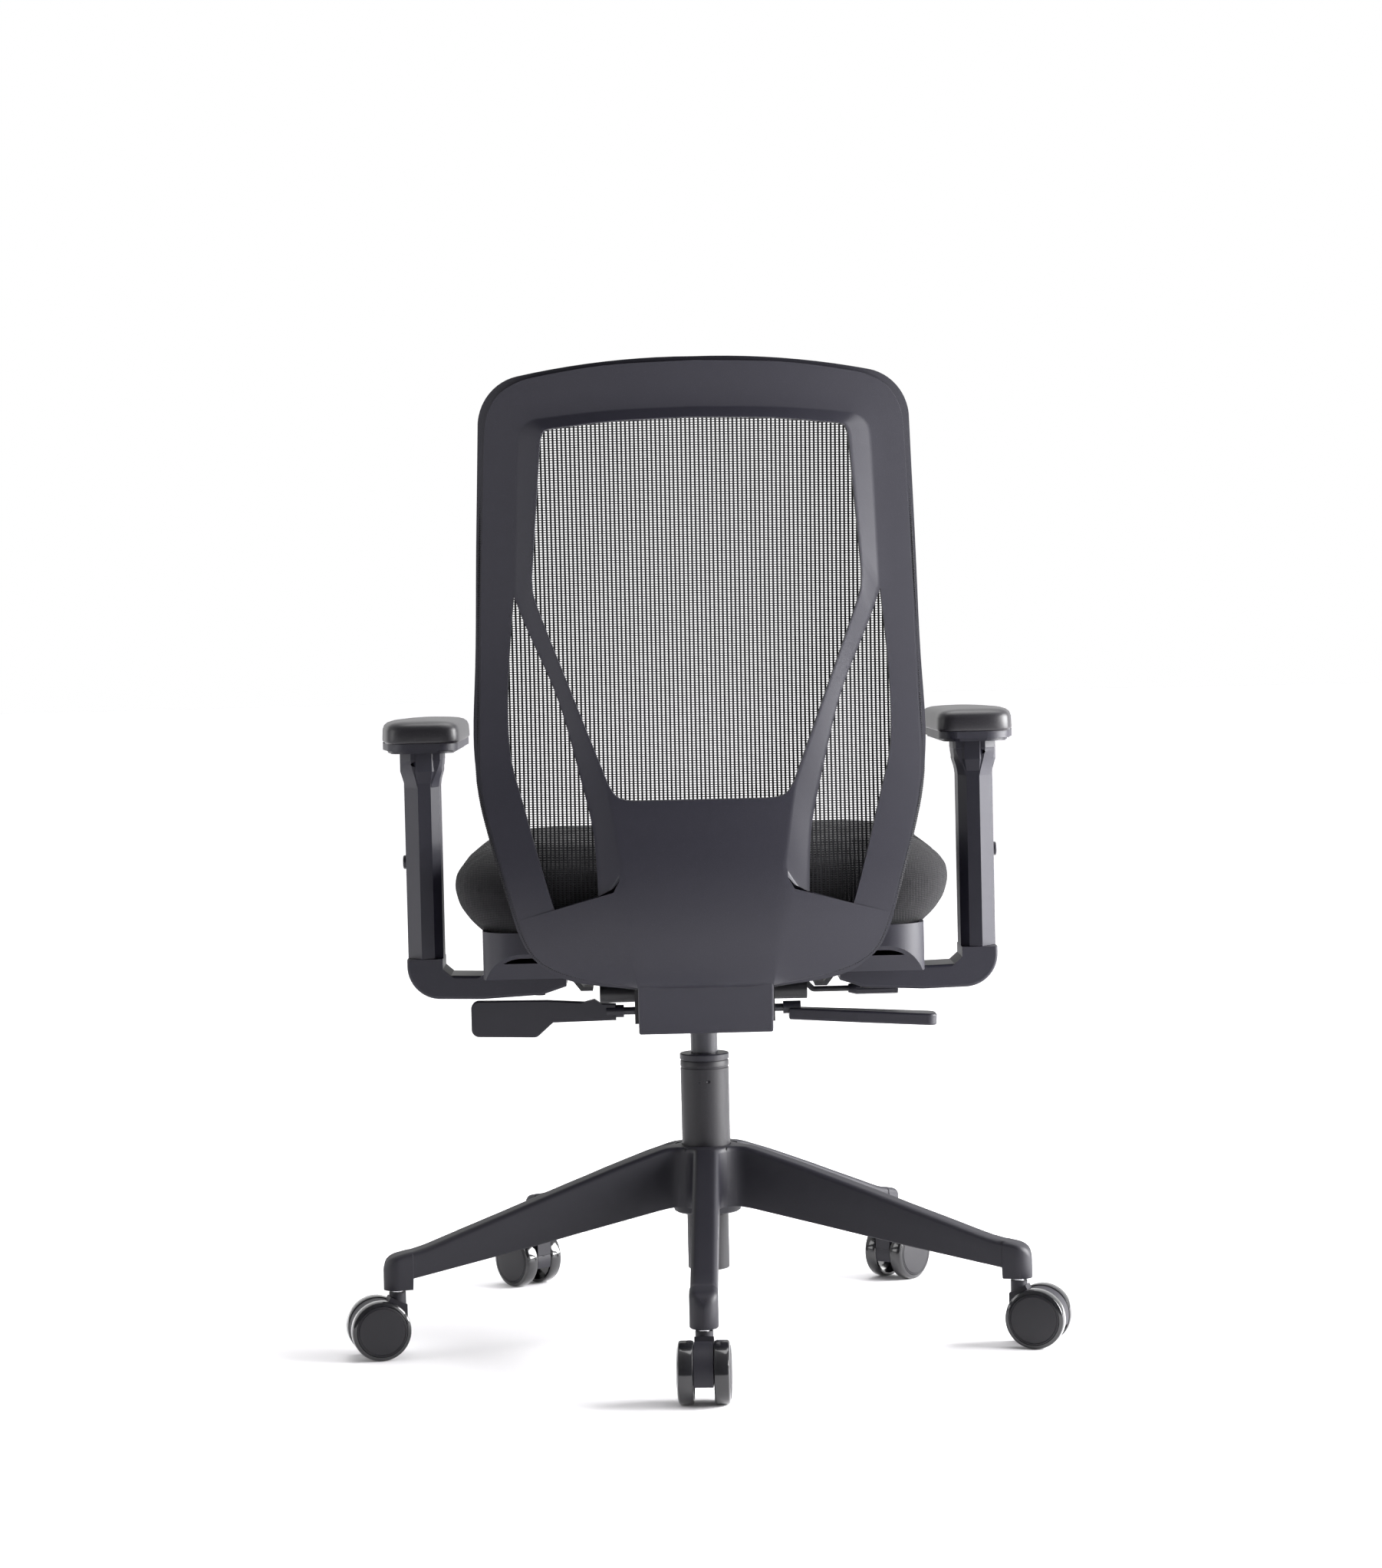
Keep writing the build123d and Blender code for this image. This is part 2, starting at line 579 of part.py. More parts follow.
with BuildPart() as seat_bracket:
    with BuildSketch(Plane.XY.offset(PLATE_BOTTOM)):
        with Locations((0, 0)):
            RectangleRounded(250, 190, 12)
    extrude(amount=PLATE_TOP - PLATE_BOTTOM)
    with BuildSketch(Plane.YZ.offset(BRACKET_INNER)):
        with BuildLine():
            Polyline((SEAT_PIVOT_Y - 20, PLATE_BOTTOM), (SEAT_PIVOT_Y + 12, PLATE_BOTTOM),
                     (SEAT_PIVOT_Y + 9, 350), (SEAT_PIVOT_Y - 9, 350), close=True)
        make_face()
    extrude(amount=BRACKET_OUTER - BRACKET_INNER)
    mirror(about=Plane.YZ)
    with BuildSketch(Plane.XZ.offset(-10)):
        with BuildLine():
            Polyline((125, PLATE_TOP), (138, PLATE_BOTTOM - 9), (124, 366), (112, 366), (112, 370),
                     (121, 370), (133, PLATE_BOTTOM - 9), (121, PLATE_BOTTOM), close=True)
        make_face()
    extrude(amount=105)
    mirror(about=Plane.YZ)
    cross_cylinder(-80, 80, SEAT_PIVOT_Y, SEAT_PIVOT_Z, SEAT_AXLE_R + FIT, Mode.SUBTRACT)
    add(seat_bolts.part, mode=Mode.SUBTRACT)
finish(seat_bracket, "seat_bracket")

PAN_LENGTH = PAN_FRONT - PAN_REAR
PAN_MID_Y = (PAN_FRONT + PAN_REAR) / 2
with BuildPart() as seat_pan:
    with BuildSketch(Plane.XY.offset(PAN_BOTTOM)):
        with Locations((0, PAN_MID_Y)):
            RectangleRounded(2 * PAN_HALF, PAN_LENGTH, 40)
    extrude(amount=PAN_TOP - PAN_BOTTOM)
    with BuildSketch(Plane.XZ):
        with Locations((0, PAN_BOTTOM)):
            Rectangle(2 * CHANNEL_HALF + 16, 2 * (PLATE_TOP - PAN_BOTTOM))
    extrude(amount=PAN_LENGTH, both=True, mode=Mode.SUBTRACT)
    with BuildSketch(Plane.YZ):
        with BuildLine():
            Polyline((PAN_REAR - 1, PAN_BOTTOM - 1), (PAN_REAR - 1, 412), (PAN_REAR + 26, PAN_BOTTOM - 1),
                     close=True)
        make_face()
    extrude(amount=PAN_HALF + 5, both=True, mode=Mode.SUBTRACT)
    with BuildSketch(Plane.XY.offset(PLATE_TOP + 4)):
        with Locations((0, PAN_MID_Y)):
            RectangleRounded(2 * PAN_HALF - 8, PAN_LENGTH - 8, 36)
    extrude(amount=PAN_TOP, mode=Mode.SUBTRACT)
    add(seat_bolts.part, mode=Mode.SUBTRACT)
    add(arm_bolts.part, mode=Mode.SUBTRACT)
finish(seat_pan, "seat_pan")

CUSHION_LIP = 1
with BuildPart() as seat_cushion:
    with BuildSketch(Plane.XY.offset(CUSHION_BOTTOM)):
        with Locations((0, (SEAT_FRONT + SEAT_REAR) / 2)):
            RectangleRounded(2 * SEAT_HALF, SEAT_FRONT - SEAT_REAR, 75)
    extrude(amount=SEAT_TOP - CUSHION_BOTTOM)
    fillet(seat_cushion.faces().sort_by(Axis.Z)[-1].edges(), radius=38)
    fillet(seat_cushion.faces().sort_by(Axis.Z)[0].edges(), radius=42)
    with BuildSketch(Plane.XY.offset(CUSHION_BOTTOM - 1)):
        with Locations((0, PAN_MID_Y)):
            RectangleRounded(2 * (PAN_HALF + CUSHION_LIP), PAN_LENGTH + 2 * CUSHION_LIP, 40)
    extrude(amount=PAN_TOP - CUSHION_BOTTOM + 1.1, mode=Mode.SUBTRACT)
finish(seat_cushion, "seat_cushion")


# =================================================================================================
# Arms: bracket with inner bar, sliding sleeve, release button, pad base and pad
# =================================================================================================
ARM_DEPTH = ARM_FRONT - ARM_REAR
with BuildPart() as arm_upright:
    with BuildSketch(Plane.XZ.offset(-ARM_FRONT)):
        with BuildLine():
            Polyline((140, 366), (140, 377), (150, PAN_BOTTOM), (PAN_HALF - 2, PAN_BOTTOM),
                     (PAN_HALF + 6, 379), (ARM_INNER - 8, 380), (ARM_INNER, 387), (ARM_INNER, ARM_SEAM),
                     (ARM_OUTER, ARM_SEAM))
            bend = Line((ARM_OUTER, ARM_SEAM), (ARM_OUTER, 390))
            curve = TangentArc(bend @ 1, (268, 356), tangent=bend % 1)
            Polyline(curve @ 1, (225, 355), (165, 358), (140, 366))
        make_face()
    extrude(amount=ARM_DEPTH)
    rims = arm_upright.faces().filter_by(Axis.Y).edges()
    fillet(rims.filter_by(lambda e: e.bounding_box().max.Z < 396.9 and e.length > 15), radius=3)
    with BuildSketch(Plane.XY.offset(ARM_SEAM)):
        with Locations((BAR_X, BAR_Y)):
            RectangleRounded(BAR_WIDTH, BAR_DEPTH, 4)
    extrude(amount=SLEEVE_TOP - 20 - ARM_SEAM)
    add(arm_bolts.part, mode=Mode.SUBTRACT)
finish_pair(arm_upright, "arm_upright")


def sleeve_section(height, grow=0):
    """Faceted outline of the sleeve at a height."""
    with BuildSketch(Plane.XY.offset(height)) as section:
        with BuildLine():
            points = [(ARM_INNER, -31), (ARM_INNER + 8, -43), (ARM_INNER + 21, ARM_REAR),
                      (ARM_OUTER, -22), (ARM_OUTER, 4), (ARM_INNER + 22, ARM_FRONT),
                      (ARM_INNER + 8, ARM_FRONT), (ARM_INNER, 5)]
            centre = ((ARM_INNER + ARM_OUTER) / 2, (ARM_REAR + ARM_FRONT) / 2)
            half_size = ((ARM_OUTER - ARM_INNER) / 2, (ARM_FRONT - ARM_REAR) / 2)
            Polyline(*grown(points, centre, half_size, grow), close=True)
        make_face()
    return section.sketch


KEY_X, KEY_WIDTH, KEY_LENGTH, KEY_TOP = 284, 20, 40, 613
with BuildPart() as arm_sleeve:
    extrude(sleeve_section(ARM_SEAM + GAP), amount=SLEEVE_TOP - ARM_SEAM - GAP)
    loft([sleeve_section(SLEEVE_TOP).face(), sleeve_section(SLEEVE_TOP + 12, 3.5).face()])
    extrude(sleeve_section(SLEEVE_TOP + 12, 3.5), amount=NECK_BLOCK_TOP - SLEEVE_TOP - 12)
    with BuildSketch(Plane.XY.offset(NECK_BLOCK_TOP)):
        with Locations((KEY_X, BAR_Y)):
            Rectangle(KEY_WIDTH, KEY_LENGTH)
    extrude(amount=KEY_TOP - NECK_BLOCK_TOP)
    with BuildSketch(Plane.XY.offset(ARM_SEAM)):
        with Locations((BAR_X, BAR_Y)):
            RectangleRounded(BAR_WIDTH + 2 * GAP, BAR_DEPTH + 2 * GAP, 4)
    extrude(amount=SLEEVE_TOP - 19 - ARM_SEAM, mode=Mode.SUBTRACT)
    with BuildSketch(Plane.YZ.offset(ARM_OUTER - 6)):
        with Locations((-9, BUTTON_Z)):
            Ellipse(9.5, 7.5)
    extrude(amount=20, mode=Mode.SUBTRACT)
finish_pair(arm_sleeve, "arm_sleeve")

with BuildPart() as arm_button:
    with BuildSketch(Plane.YZ.offset(ARM_OUTER - 2.5)):
        with Locations((-9, BUTTON_Z)):
            Ellipse(9.1, 7.1)
    extrude(amount=6)
    fillet(arm_button.edges().group_by(Axis.X)[-1], radius=1.2)
finish_pair(arm_button, "arm_button")


def pad_section(height, grow=0):
    """Pad outline seen from above: straight inner side, bulging outer side."""
    with BuildSketch(Plane.XY.offset(height)) as section:
        with BuildLine():
            points = grown([(240, 112), (240, -90), (258, -110), (290, -110), (308, -102), (315, -80),
                            (326, 25), (312, 118), (301, 133), (282, 138), (262, 138), (246.5, 131.5)],
                           centre=(283, 14), half_size=(43, 124), border=grow)
            inner = Line(points[0], points[1])
            TangentArc(inner @ 1, points[2], tangent=inner % 1)
            Line(points[2], points[3])
            ThreePointArc(*points[3:6])
            ThreePointArc(*points[5:8])
            ThreePointArc(*points[7:10])
            Line(points[9], points[10])
            ThreePointArc(points[10], points[11], points[0])
        make_face()
    return section.sketch


PAD_TRAVEL = 25
with BuildPart() as arm_pad_base:
    extrude(pad_section(PAD_BOTTOM, -7), amount=3)
    extrude(pad_section(PAD_BOTTOM + 3, -2), amount=PAD_SEAM - PAD_BOTTOM - 3)
    with BuildSketch(Plane.XY.offset(PAD_BOTTOM)):
        with Locations((KEY_X, BAR_Y)):
            Rectangle(KEY_WIDTH + 2 * GAP, KEY_LENGTH + 2 * (PAD_TRAVEL + GAP))
    extrude(amount=KEY_TOP + GAP - PAD_BOTTOM, mode=Mode.SUBTRACT)
finish_pair(arm_pad_base, "arm_pad_base")

with BuildPart() as arm_pad:
    extrude(pad_section(PAD_SEAM), amount=PAD_TOP - PAD_SEAM - 4)
    extrude(pad_section(PAD_TOP - 4, -3), amount=4)
finish_pair(arm_pad, "arm_pad")


# =================================================================================================
# Casters: fork with neck, steel stem and axle, two wheels
# =================================================================================================
def caster_plane(index):
    """Plane of a caster: X along its trail, Z up, origin on the floor under its stem."""
    leg_angle = radians(LEG_START + index * LEG_PITCH)
    heading = radians(CASTER_HEADINGS[index])
    return Plane(origin=(SOCKET_RADIUS * cos(leg_angle), SOCKET_RADIUS * sin(leg_angle), 0),
                 x_dir=(cos(heading), sin(heading), 0), z_dir=(0, 0, 1))


with BuildPart() as fork:
    with BuildSketch(Plane.XZ):
        with Locations((CASTER_TRAIL, WHEEL_R)):
            Circle(WHEEL_R - 1.5)
        with Locations((CASTER_TRAIL, 6)):
            Rectangle(80, 30, mode=Mode.SUBTRACT)
        with BuildLine():
            Polyline((-NECK_R, 36), (-NECK_R, NECK_TOP - 12), (NECK_R, NECK_TOP - 4), (CASTER_TRAIL, 40),
                     (CASTER_TRAIL, 24), (0, 24), close=True)
        make_face()
    extrude(amount=FORK_HALF, both=True)
    with BuildSketch(Plane.XY.offset(34)):
        Circle(NECK_R)
    extrude(amount=NECK_TOP - 34)
    with BuildSketch(Plane.XZ):
        with Locations((CASTER_TRAIL, WHEEL_R)):
            Circle(AXLE_R)
    extrude(amount=20, both=True, mode=Mode.SUBTRACT)
    with BuildSketch(Plane.XY.offset(44)):
        Circle(STEM_R)
    extrude(amount=40, mode=Mode.SUBTRACT)

with BuildPart() as pins:
    with BuildSketch(Plane.XY.offset(44)):
        Circle(STEM_R)
    extrude(amount=STEM_TOP - 44)
    chamfer(pins.edges().sort_by(Axis.Z)[-1], length=1.5)
    with BuildSketch(Plane.XZ):
        with Locations((CASTER_TRAIL, WHEEL_R)):
            Circle(AXLE_R)
    extrude(amount=WHEEL_INNER + WHEEL_WIDTH - 3, both=True)

HUB_WALL_R = 7
with BuildPart() as wheel:
    with BuildSketch(Plane.XY):
        with BuildLine():
            Polyline((AXLE_R + FIT, 0), (HUB_WALL_R, 0), (HUB_WALL_R, WHEEL_WIDTH - 4),
                     (WHEEL_R - 5, WHEEL_WIDTH - 4), (WHEEL_R - 4, 0), (WHEEL_R - 1.5, 0), (WHEEL_R, 2),
                     (WHEEL_R, WHEEL_WIDTH - 4))
            Spline((WHEEL_R, WHEEL_WIDTH - 4), (WHEEL_R - 2, WHEEL_WIDTH - 1.6), (0, WHEEL_WIDTH),
                   tangents=((0, 1), (-1, 0)))
            Polyline((0, WHEEL_WIDTH), (0, WHEEL_WIDTH - 2.6), (AXLE_R + FIT, WHEEL_WIDTH - 2.6),
                     (AXLE_R + FIT, 0))
        make_face()
    revolve(axis=Axis.Y)
    with BuildSketch(Plane.XZ):
        with PolarLocations((WHEEL_R + HUB_WALL_R) / 2 - 2, 5):
            Rectangle(WHEEL_R - HUB_WALL_R - 3.6, 2.2)
    extrude(amount=-(WHEEL_WIDTH - 3))

for index in range(LEG_COUNT):
    ground = caster_plane(index)
    number = index + 1
    for name, piece in (("fork", fork), ("pins", pins)):
        with BuildPart() as placed:
            add(piece.part.moved(ground.location))
        finish(placed, f"caster_{number}_{name}")
    for side, turn in (("a", 0), ("b", 180)):
        axle = ground.location * Location((CASTER_TRAIL, 0, WHEEL_R), (0, 0, turn))
        with BuildPart() as placed:
            add(wheel.part.moved(axle * Location((0, WHEEL_INNER, 0))))
        finish(placed, f"caster_{number}_wheel_{side}")
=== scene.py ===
# %% [markdown]
# # A swivel office chair with a mesh back
# The CAD model is loaded as a fixed frame. Each piece that needs more shape than CAD gave it is
# modelled here with mesh operators and rides on its CAD body. The other parts keep their CAD shape
# and get a procedural finish.

# %% Load the frame and keep its box
import json
from math import cos, hypot, pi, radians, sin, sqrt

import bmesh
import bpy
from mathutils import Matrix, Vector


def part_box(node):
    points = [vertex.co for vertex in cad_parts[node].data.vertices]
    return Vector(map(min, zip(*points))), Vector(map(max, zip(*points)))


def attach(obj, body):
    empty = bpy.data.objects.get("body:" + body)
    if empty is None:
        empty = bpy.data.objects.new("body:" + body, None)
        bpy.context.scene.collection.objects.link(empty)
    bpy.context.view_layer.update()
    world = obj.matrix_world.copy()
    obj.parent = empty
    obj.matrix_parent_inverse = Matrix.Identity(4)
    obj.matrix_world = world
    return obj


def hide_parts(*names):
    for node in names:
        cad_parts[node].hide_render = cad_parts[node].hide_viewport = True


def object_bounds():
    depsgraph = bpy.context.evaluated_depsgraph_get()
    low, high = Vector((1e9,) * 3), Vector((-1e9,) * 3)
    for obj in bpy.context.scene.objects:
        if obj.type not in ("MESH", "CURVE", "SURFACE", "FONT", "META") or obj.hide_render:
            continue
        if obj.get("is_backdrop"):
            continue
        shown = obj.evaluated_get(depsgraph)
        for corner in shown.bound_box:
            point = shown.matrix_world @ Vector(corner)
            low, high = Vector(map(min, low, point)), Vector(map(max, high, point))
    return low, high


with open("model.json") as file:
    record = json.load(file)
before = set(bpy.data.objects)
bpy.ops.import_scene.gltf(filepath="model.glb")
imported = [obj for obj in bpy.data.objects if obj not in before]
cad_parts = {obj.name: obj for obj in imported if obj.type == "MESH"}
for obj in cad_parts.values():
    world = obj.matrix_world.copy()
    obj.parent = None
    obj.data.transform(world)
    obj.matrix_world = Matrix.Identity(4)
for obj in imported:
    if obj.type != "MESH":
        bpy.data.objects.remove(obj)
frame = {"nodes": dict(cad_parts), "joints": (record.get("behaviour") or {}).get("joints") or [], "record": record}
cad_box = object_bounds()
scene = bpy.context.scene
scene.view_settings.view_transform = "Standard"
MM = 0.001

# %% [markdown]
# ## Camera
# A long lens at seat-back height, behind the chair and a little to its left. Three angles turn it:
# yaw, a slight downward pitch and a small roll. The view axes are built from them one by one, because
# that shows what each angle does.

# %% Camera
CAMERA_PLACE = Vector((-0.048, -3.5957, 0.7169))
YAW, PITCH, ROLL = 0.01128, 0.0413, -0.02266
forward = Vector((sin(YAW) * cos(PITCH), cos(YAW) * cos(PITCH), -sin(PITCH)))
right = Vector((cos(YAW), -sin(YAW), 0))
up = right.cross(forward)
view_axes = (cos(ROLL) * right + sin(ROLL) * up, cos(ROLL) * up - sin(ROLL) * right, -forward)
camera_data = bpy.data.cameras.new("camera")
camera_data.lens, camera_data.sensor_width = 80.02, 36
camera = bpy.data.objects.new("camera", camera_data)
scene.collection.objects.link(camera)
camera.matrix_world = Matrix.Translation(CAMERA_PLACE) @ Matrix(view_axes).transposed().to_4x4()
scene.camera = camera
print("camera at", tuple(round(c, 3) for c in camera.location))

# %% [markdown]
# ## Studio
# A white floor that runs far enough to meet a white surround, one large soft box on the right, three
# weaker ones, and a surround that is darker behind the camera. Black plastic shows little colour of
# its own, so what it mirrors draws its shape: bright to the right, dim towards the camera. Seen
# directly, the surround is plain white from every side, and the floor glows a little far away, so
# that the two meet without a line.

# %% Floor, surround and soft boxes
floor_mesh = bmesh.new()
bmesh.ops.create_circle(floor_mesh, cap_ends=True, segments=96, radius=40)
floor_data = bpy.data.meshes.new("floor")
floor_mesh.to_mesh(floor_data)
floor_mesh.free()
floor = bpy.data.objects.new("floor", floor_data)
scene.collection.objects.link(floor)
floor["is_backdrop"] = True
floor_paint = bpy.data.materials.new("floor_paint")
floor_paint.use_nodes = True
floor_shader = floor_paint.node_tree.nodes["Principled BSDF"]
floor_shader.inputs["Base Color"].default_value = (0.86, 0.85, 0.87, 1)
floor_shader.inputs["Roughness"].default_value = 0.75
floor_shader.inputs["Emission Color"].default_value = (1, 1, 1, 1)
glow = floor_paint.node_tree
glow_place = glow.nodes.new("ShaderNodeTexCoord")
glow_far = glow.nodes.new("ShaderNodeVectorMath")
glow_far.operation = "LENGTH"
glow_share = glow.nodes.new("ShaderNodeMapRange")
for key, value in (("From Min", 0.3), ("From Max", 5.0), ("To Min", 0.0), ("To Max", 0.42)):
    glow_share.inputs[key].default_value = value
glow.links.new(glow_place.outputs["Object"], glow_far.inputs[0])
glow.links.new(glow_far.outputs["Value"], glow_share.inputs["Value"])
glow.links.new(glow_share.outputs["Result"], floor_shader.inputs["Emission Strength"])
floor_data.materials.append(floor_paint)

world = bpy.data.worlds.new("surround")
world.use_nodes = True
scene.world = world
sky = world.node_tree
SURROUND = ((0.0, 0.12), (0.35, 0.40), (0.62, 0.95), (1.0, 1.05))   # (share from camera side, brightness)
direction = sky.nodes.new("ShaderNodeTexCoord")
split = sky.nodes.new("ShaderNodeSeparateXYZ")
share = sky.nodes.new("ShaderNodeMapRange")
share.inputs["From Min"].default_value, share.inputs["From Max"].default_value = -1, 1
ramp = sky.nodes.new("ShaderNodeValToRGB")
for index, (place, value) in enumerate(SURROUND):
    stop = ramp.color_ramp.elements[0] if index == 0 else ramp.color_ramp.elements.new(place)
    stop.position, stop.color = place, (value, value, value, 1)
ramp.color_ramp.elements.remove(ramp.color_ramp.elements[-1])
sky.links.new(direction.outputs["Generated"], split.inputs[0])
sky.links.new(split.outputs["Y"], share.inputs["Value"])
sky.links.new(share.outputs["Result"], ramp.inputs["Fac"])
lighting = sky.nodes["Background"]
open_view, chosen = sky.nodes.new("ShaderNodeBackground"), sky.nodes.new("ShaderNodeMixShader")
open_view.inputs["Color"].default_value = (1, 1, 1, 1)
sky.links.new(ramp.outputs["Color"], lighting.inputs["Color"])
sky.links.new(sky.nodes.new("ShaderNodeLightPath").outputs["Is Camera Ray"], chosen.inputs["Fac"])
sky.links.new(lighting.outputs["Background"], chosen.inputs[1])
sky.links.new(open_view.outputs["Background"], chosen.inputs[2])
sky.links.new(chosen.outputs["Shader"], sky.nodes["World Output"].inputs["Surface"])


def soft_box(name, place, aim, size, power):
    """A rectangular soft light that lights the chair but is not seen itself."""
    data = bpy.data.lights.new(name, "AREA")
    data.shape, data.size, data.size_y, data.energy = "RECTANGLE", size[0], size[1], power
    lamp = bpy.data.objects.new(name, data)
    scene.collection.objects.link(lamp)
    lamp.location = place
    lamp.rotation_euler = (Vector(aim) - Vector(place)).to_track_quat("-Z", "Y").to_euler()
    lamp.visible_camera = False


soft_box("key_right", (3.7, -0.25, 1.5), (0, 0, 0.6), (3.0, 2.4), 680)
soft_box("side_right", (3.0, -2.4, 1.2), (0, 0, 0.6), (1.6, 2.0), 32)
soft_box("fill_left", (-3.6, -0.9, 1.3), (0, 0, 0.5), (1.6, 2.0), 40)
soft_box("top", (0.4, 0.6, 3.2), (0, 0, 0), (2.4, 2.4), 80)
print("studio: floor, surround and 3 soft boxes")

# %% [markdown]
# ## Finishes
# Nearly everything is the same charcoal moulded plastic. Real mouldings have a spark-eroded skin: a
# fine grain that breaks highlights into tiny specks, over slow changes in gloss where the plastic
# flowed. That skin is one shader group with named inputs, used by every plastic with its own values.

# %% A moulded skin as a shader group
def shader_group(name, inputs, outputs):
    """An empty shader group with named sockets."""
    group = bpy.data.node_groups.new(name, "ShaderNodeTree")
    for label, kind, value in inputs:
        socket = group.interface.new_socket(name=label, in_out="INPUT", socket_type=kind)
        socket.default_value = value
    for label, kind in outputs:
        group.interface.new_socket(name=label, in_out="OUTPUT", socket_type=kind)
    return group, group.nodes.new("NodeGroupInput"), group.nodes.new("NodeGroupOutput")


def add_node(tree, kind, settings=(), **values):
    """A node with its plain settings and the values of its inputs."""
    node = tree.nodes.new(kind)
    for key, value in dict(settings).items():
        setattr(node, key, value)
    for key, value in values.items():
        node.inputs[key.replace("_", " ")].default_value = value
    return node


FLOAT, COLOR, NORMAL = "NodeSocketFloat", "NodeSocketColor", "NodeSocketVector"
skin, skin_in, skin_out = shader_group(
    "moulded_skin",
    (("Color", COLOR, (0.02, 0.02, 0.022, 1)), ("Roughness", FLOAT, 0.5), ("Grain", FLOAT, 1400.0),
     ("Depth", FLOAT, 0.2), ("Flow", FLOAT, 0.06)),
    (("Color", COLOR), ("Roughness", FLOAT), ("Normal", NORMAL)))
where = add_node(skin, "ShaderNodeTexCoord")
grain = add_node(skin, "ShaderNodeTexNoise", Detail=2.0, Roughness=0.6)
flow = add_node(skin, "ShaderNodeTexNoise", Scale=9.0, Detail=3.0)
centre_flow = add_node(skin, "ShaderNodeMath", {"operation": "SUBTRACT"})
centre_flow.inputs[1].default_value = 0.5
flow_part = add_node(skin, "ShaderNodeMath", {"operation": "MULTIPLY"})
rough = add_node(skin, "ShaderNodeMath", {"operation": "ADD", "use_clamp": True})
speck = add_node(skin, "ShaderNodeMapRange", From_Min=0.58, From_Max=0.75, To_Min=1.0, To_Max=1.7)
tinted = add_node(skin, "ShaderNodeVectorMath", {"operation": "SCALE"})
relief = add_node(skin, "ShaderNodeBump", Distance=0.0002)
for a, b in (
        (where.outputs["Object"], grain.inputs["Vector"]), (skin_in.outputs["Grain"], grain.inputs["Scale"]),
        (where.outputs["Object"], flow.inputs["Vector"]), (flow.outputs["Fac"], centre_flow.inputs[0]),
        (centre_flow.outputs[0], flow_part.inputs[0]), (skin_in.outputs["Flow"], flow_part.inputs[1]),
        (flow_part.outputs[0], rough.inputs[0]), (skin_in.outputs["Roughness"], rough.inputs[1]),
        (rough.outputs[0], skin_out.inputs["Roughness"]), (grain.outputs["Fac"], speck.inputs["Value"]),
        (skin_in.outputs["Color"], tinted.inputs[0]), (speck.outputs["Result"], tinted.inputs["Scale"]),
        (tinted.outputs["Vector"], skin_out.inputs["Color"]), (grain.outputs["Fac"], relief.inputs["Height"]),
        (skin_in.outputs["Depth"], relief.inputs["Strength"]), (relief.outputs["Normal"],
                                                                skin_out.inputs["Normal"])):
    skin.links.new(a, b)
print("shader group", skin.name)


# %% [markdown]
# ## Finishes
# Every plastic, paint and metal is the same skin with its own colour, gloss and grain. The moulded
# parts are a violet black, the wheels are polished and the column is painted steel.

# %% Plastics, paint and steel that use the skin
def skinned(name, color, roughness, grain_scale=1400, depth=0.2, flow_amount=0.06, metallic=0.0,
            coat=0.0, coat_roughness=0.1, specular=0.34):
    """A material whose colour, roughness and relief come from the moulded skin."""
    material = bpy.data.materials.new(name)
    material.use_nodes = True
    tree = material.node_tree
    shader = tree.nodes["Principled BSDF"]
    group = tree.nodes.new("ShaderNodeGroup")
    group.node_tree = skin
    for key, value in (("Color", (*color, 1)), ("Roughness", roughness), ("Grain", grain_scale),
                       ("Depth", depth), ("Flow", flow_amount)):
        group.inputs[key].default_value = value
    for key in ("Roughness", "Normal"):
        tree.links.new(group.outputs[key], shader.inputs[key])
    tree.links.new(group.outputs["Color"], shader.inputs["Base Color"])
    shader.inputs["Metallic"].default_value = metallic
    shader.inputs["Coat Weight"].default_value = coat
    shader.inputs["Coat Roughness"].default_value = coat_roughness
    shader.inputs["Specular IOR Level"].default_value = specular
    return material


charcoal = (0.0098, 0.0093, 0.0160)
frame_plastic = skinned("frame_plastic", charcoal, 0.47, depth=0.25)
base_plastic = skinned("base_plastic", (0.0085, 0.0080, 0.0125), 0.52, depth=0.18)
lever_plastic = skinned("lever_plastic", (0.0100, 0.0095, 0.0150), 0.42, depth=0.15)
hood_plastic = skinned("hood_plastic", (0.0085, 0.0080, 0.0105), 0.46, depth=0.15)
gloss_plastic = skinned("gloss_plastic", (0.0080, 0.0080, 0.0095), 0.16, depth=0.02, coat=0.6)
column_paint = skinned("column_paint", (0.0085, 0.0080, 0.0105), 0.46, grain_scale=900, depth=0.08)
tube_black = skinned("tube_black", (0.0200, 0.0200, 0.0260), 0.24, grain_scale=2200, depth=0.03)
house_paint = skinned("house_paint", (0.0130, 0.0130, 0.0150), 0.40, grain_scale=700, depth=0.12)
bright_steel = skinned("bright_steel", (0.52, 0.52, 0.54), 0.26, grain_scale=500, depth=0.05,
                       metallic=1.0)
pad_skin = skinned("pad_skin", (0.0120, 0.0112, 0.0140), 0.40, grain_scale=620, depth=0.30)
FINISHES = {
    "base_nylon": base_plastic, "frame_nylon": frame_plastic, "soft_pad": pad_skin,
    "lever_plastic": lever_plastic, "wheel_plastic": gloss_plastic, "column_paint": column_paint,
    "tube_black": tube_black, "mechanism_paint": house_paint, "bright_steel": bright_steel,
    "back_mesh_fabric": frame_plastic, "seat_fabric": frame_plastic}
for name, node in frame["nodes"].items():
    for place in node.material_slots:
        place.material = FINISHES[place.material.name.split(".")[0]]
for name in ("height_lever_shaft", "lock_lever_shaft"):       # blackened steel, unlike the caster pins
    frame["nodes"][name].material_slots[0].material = tube_black
print(len(FINISHES), "finishes on the CAD parts")

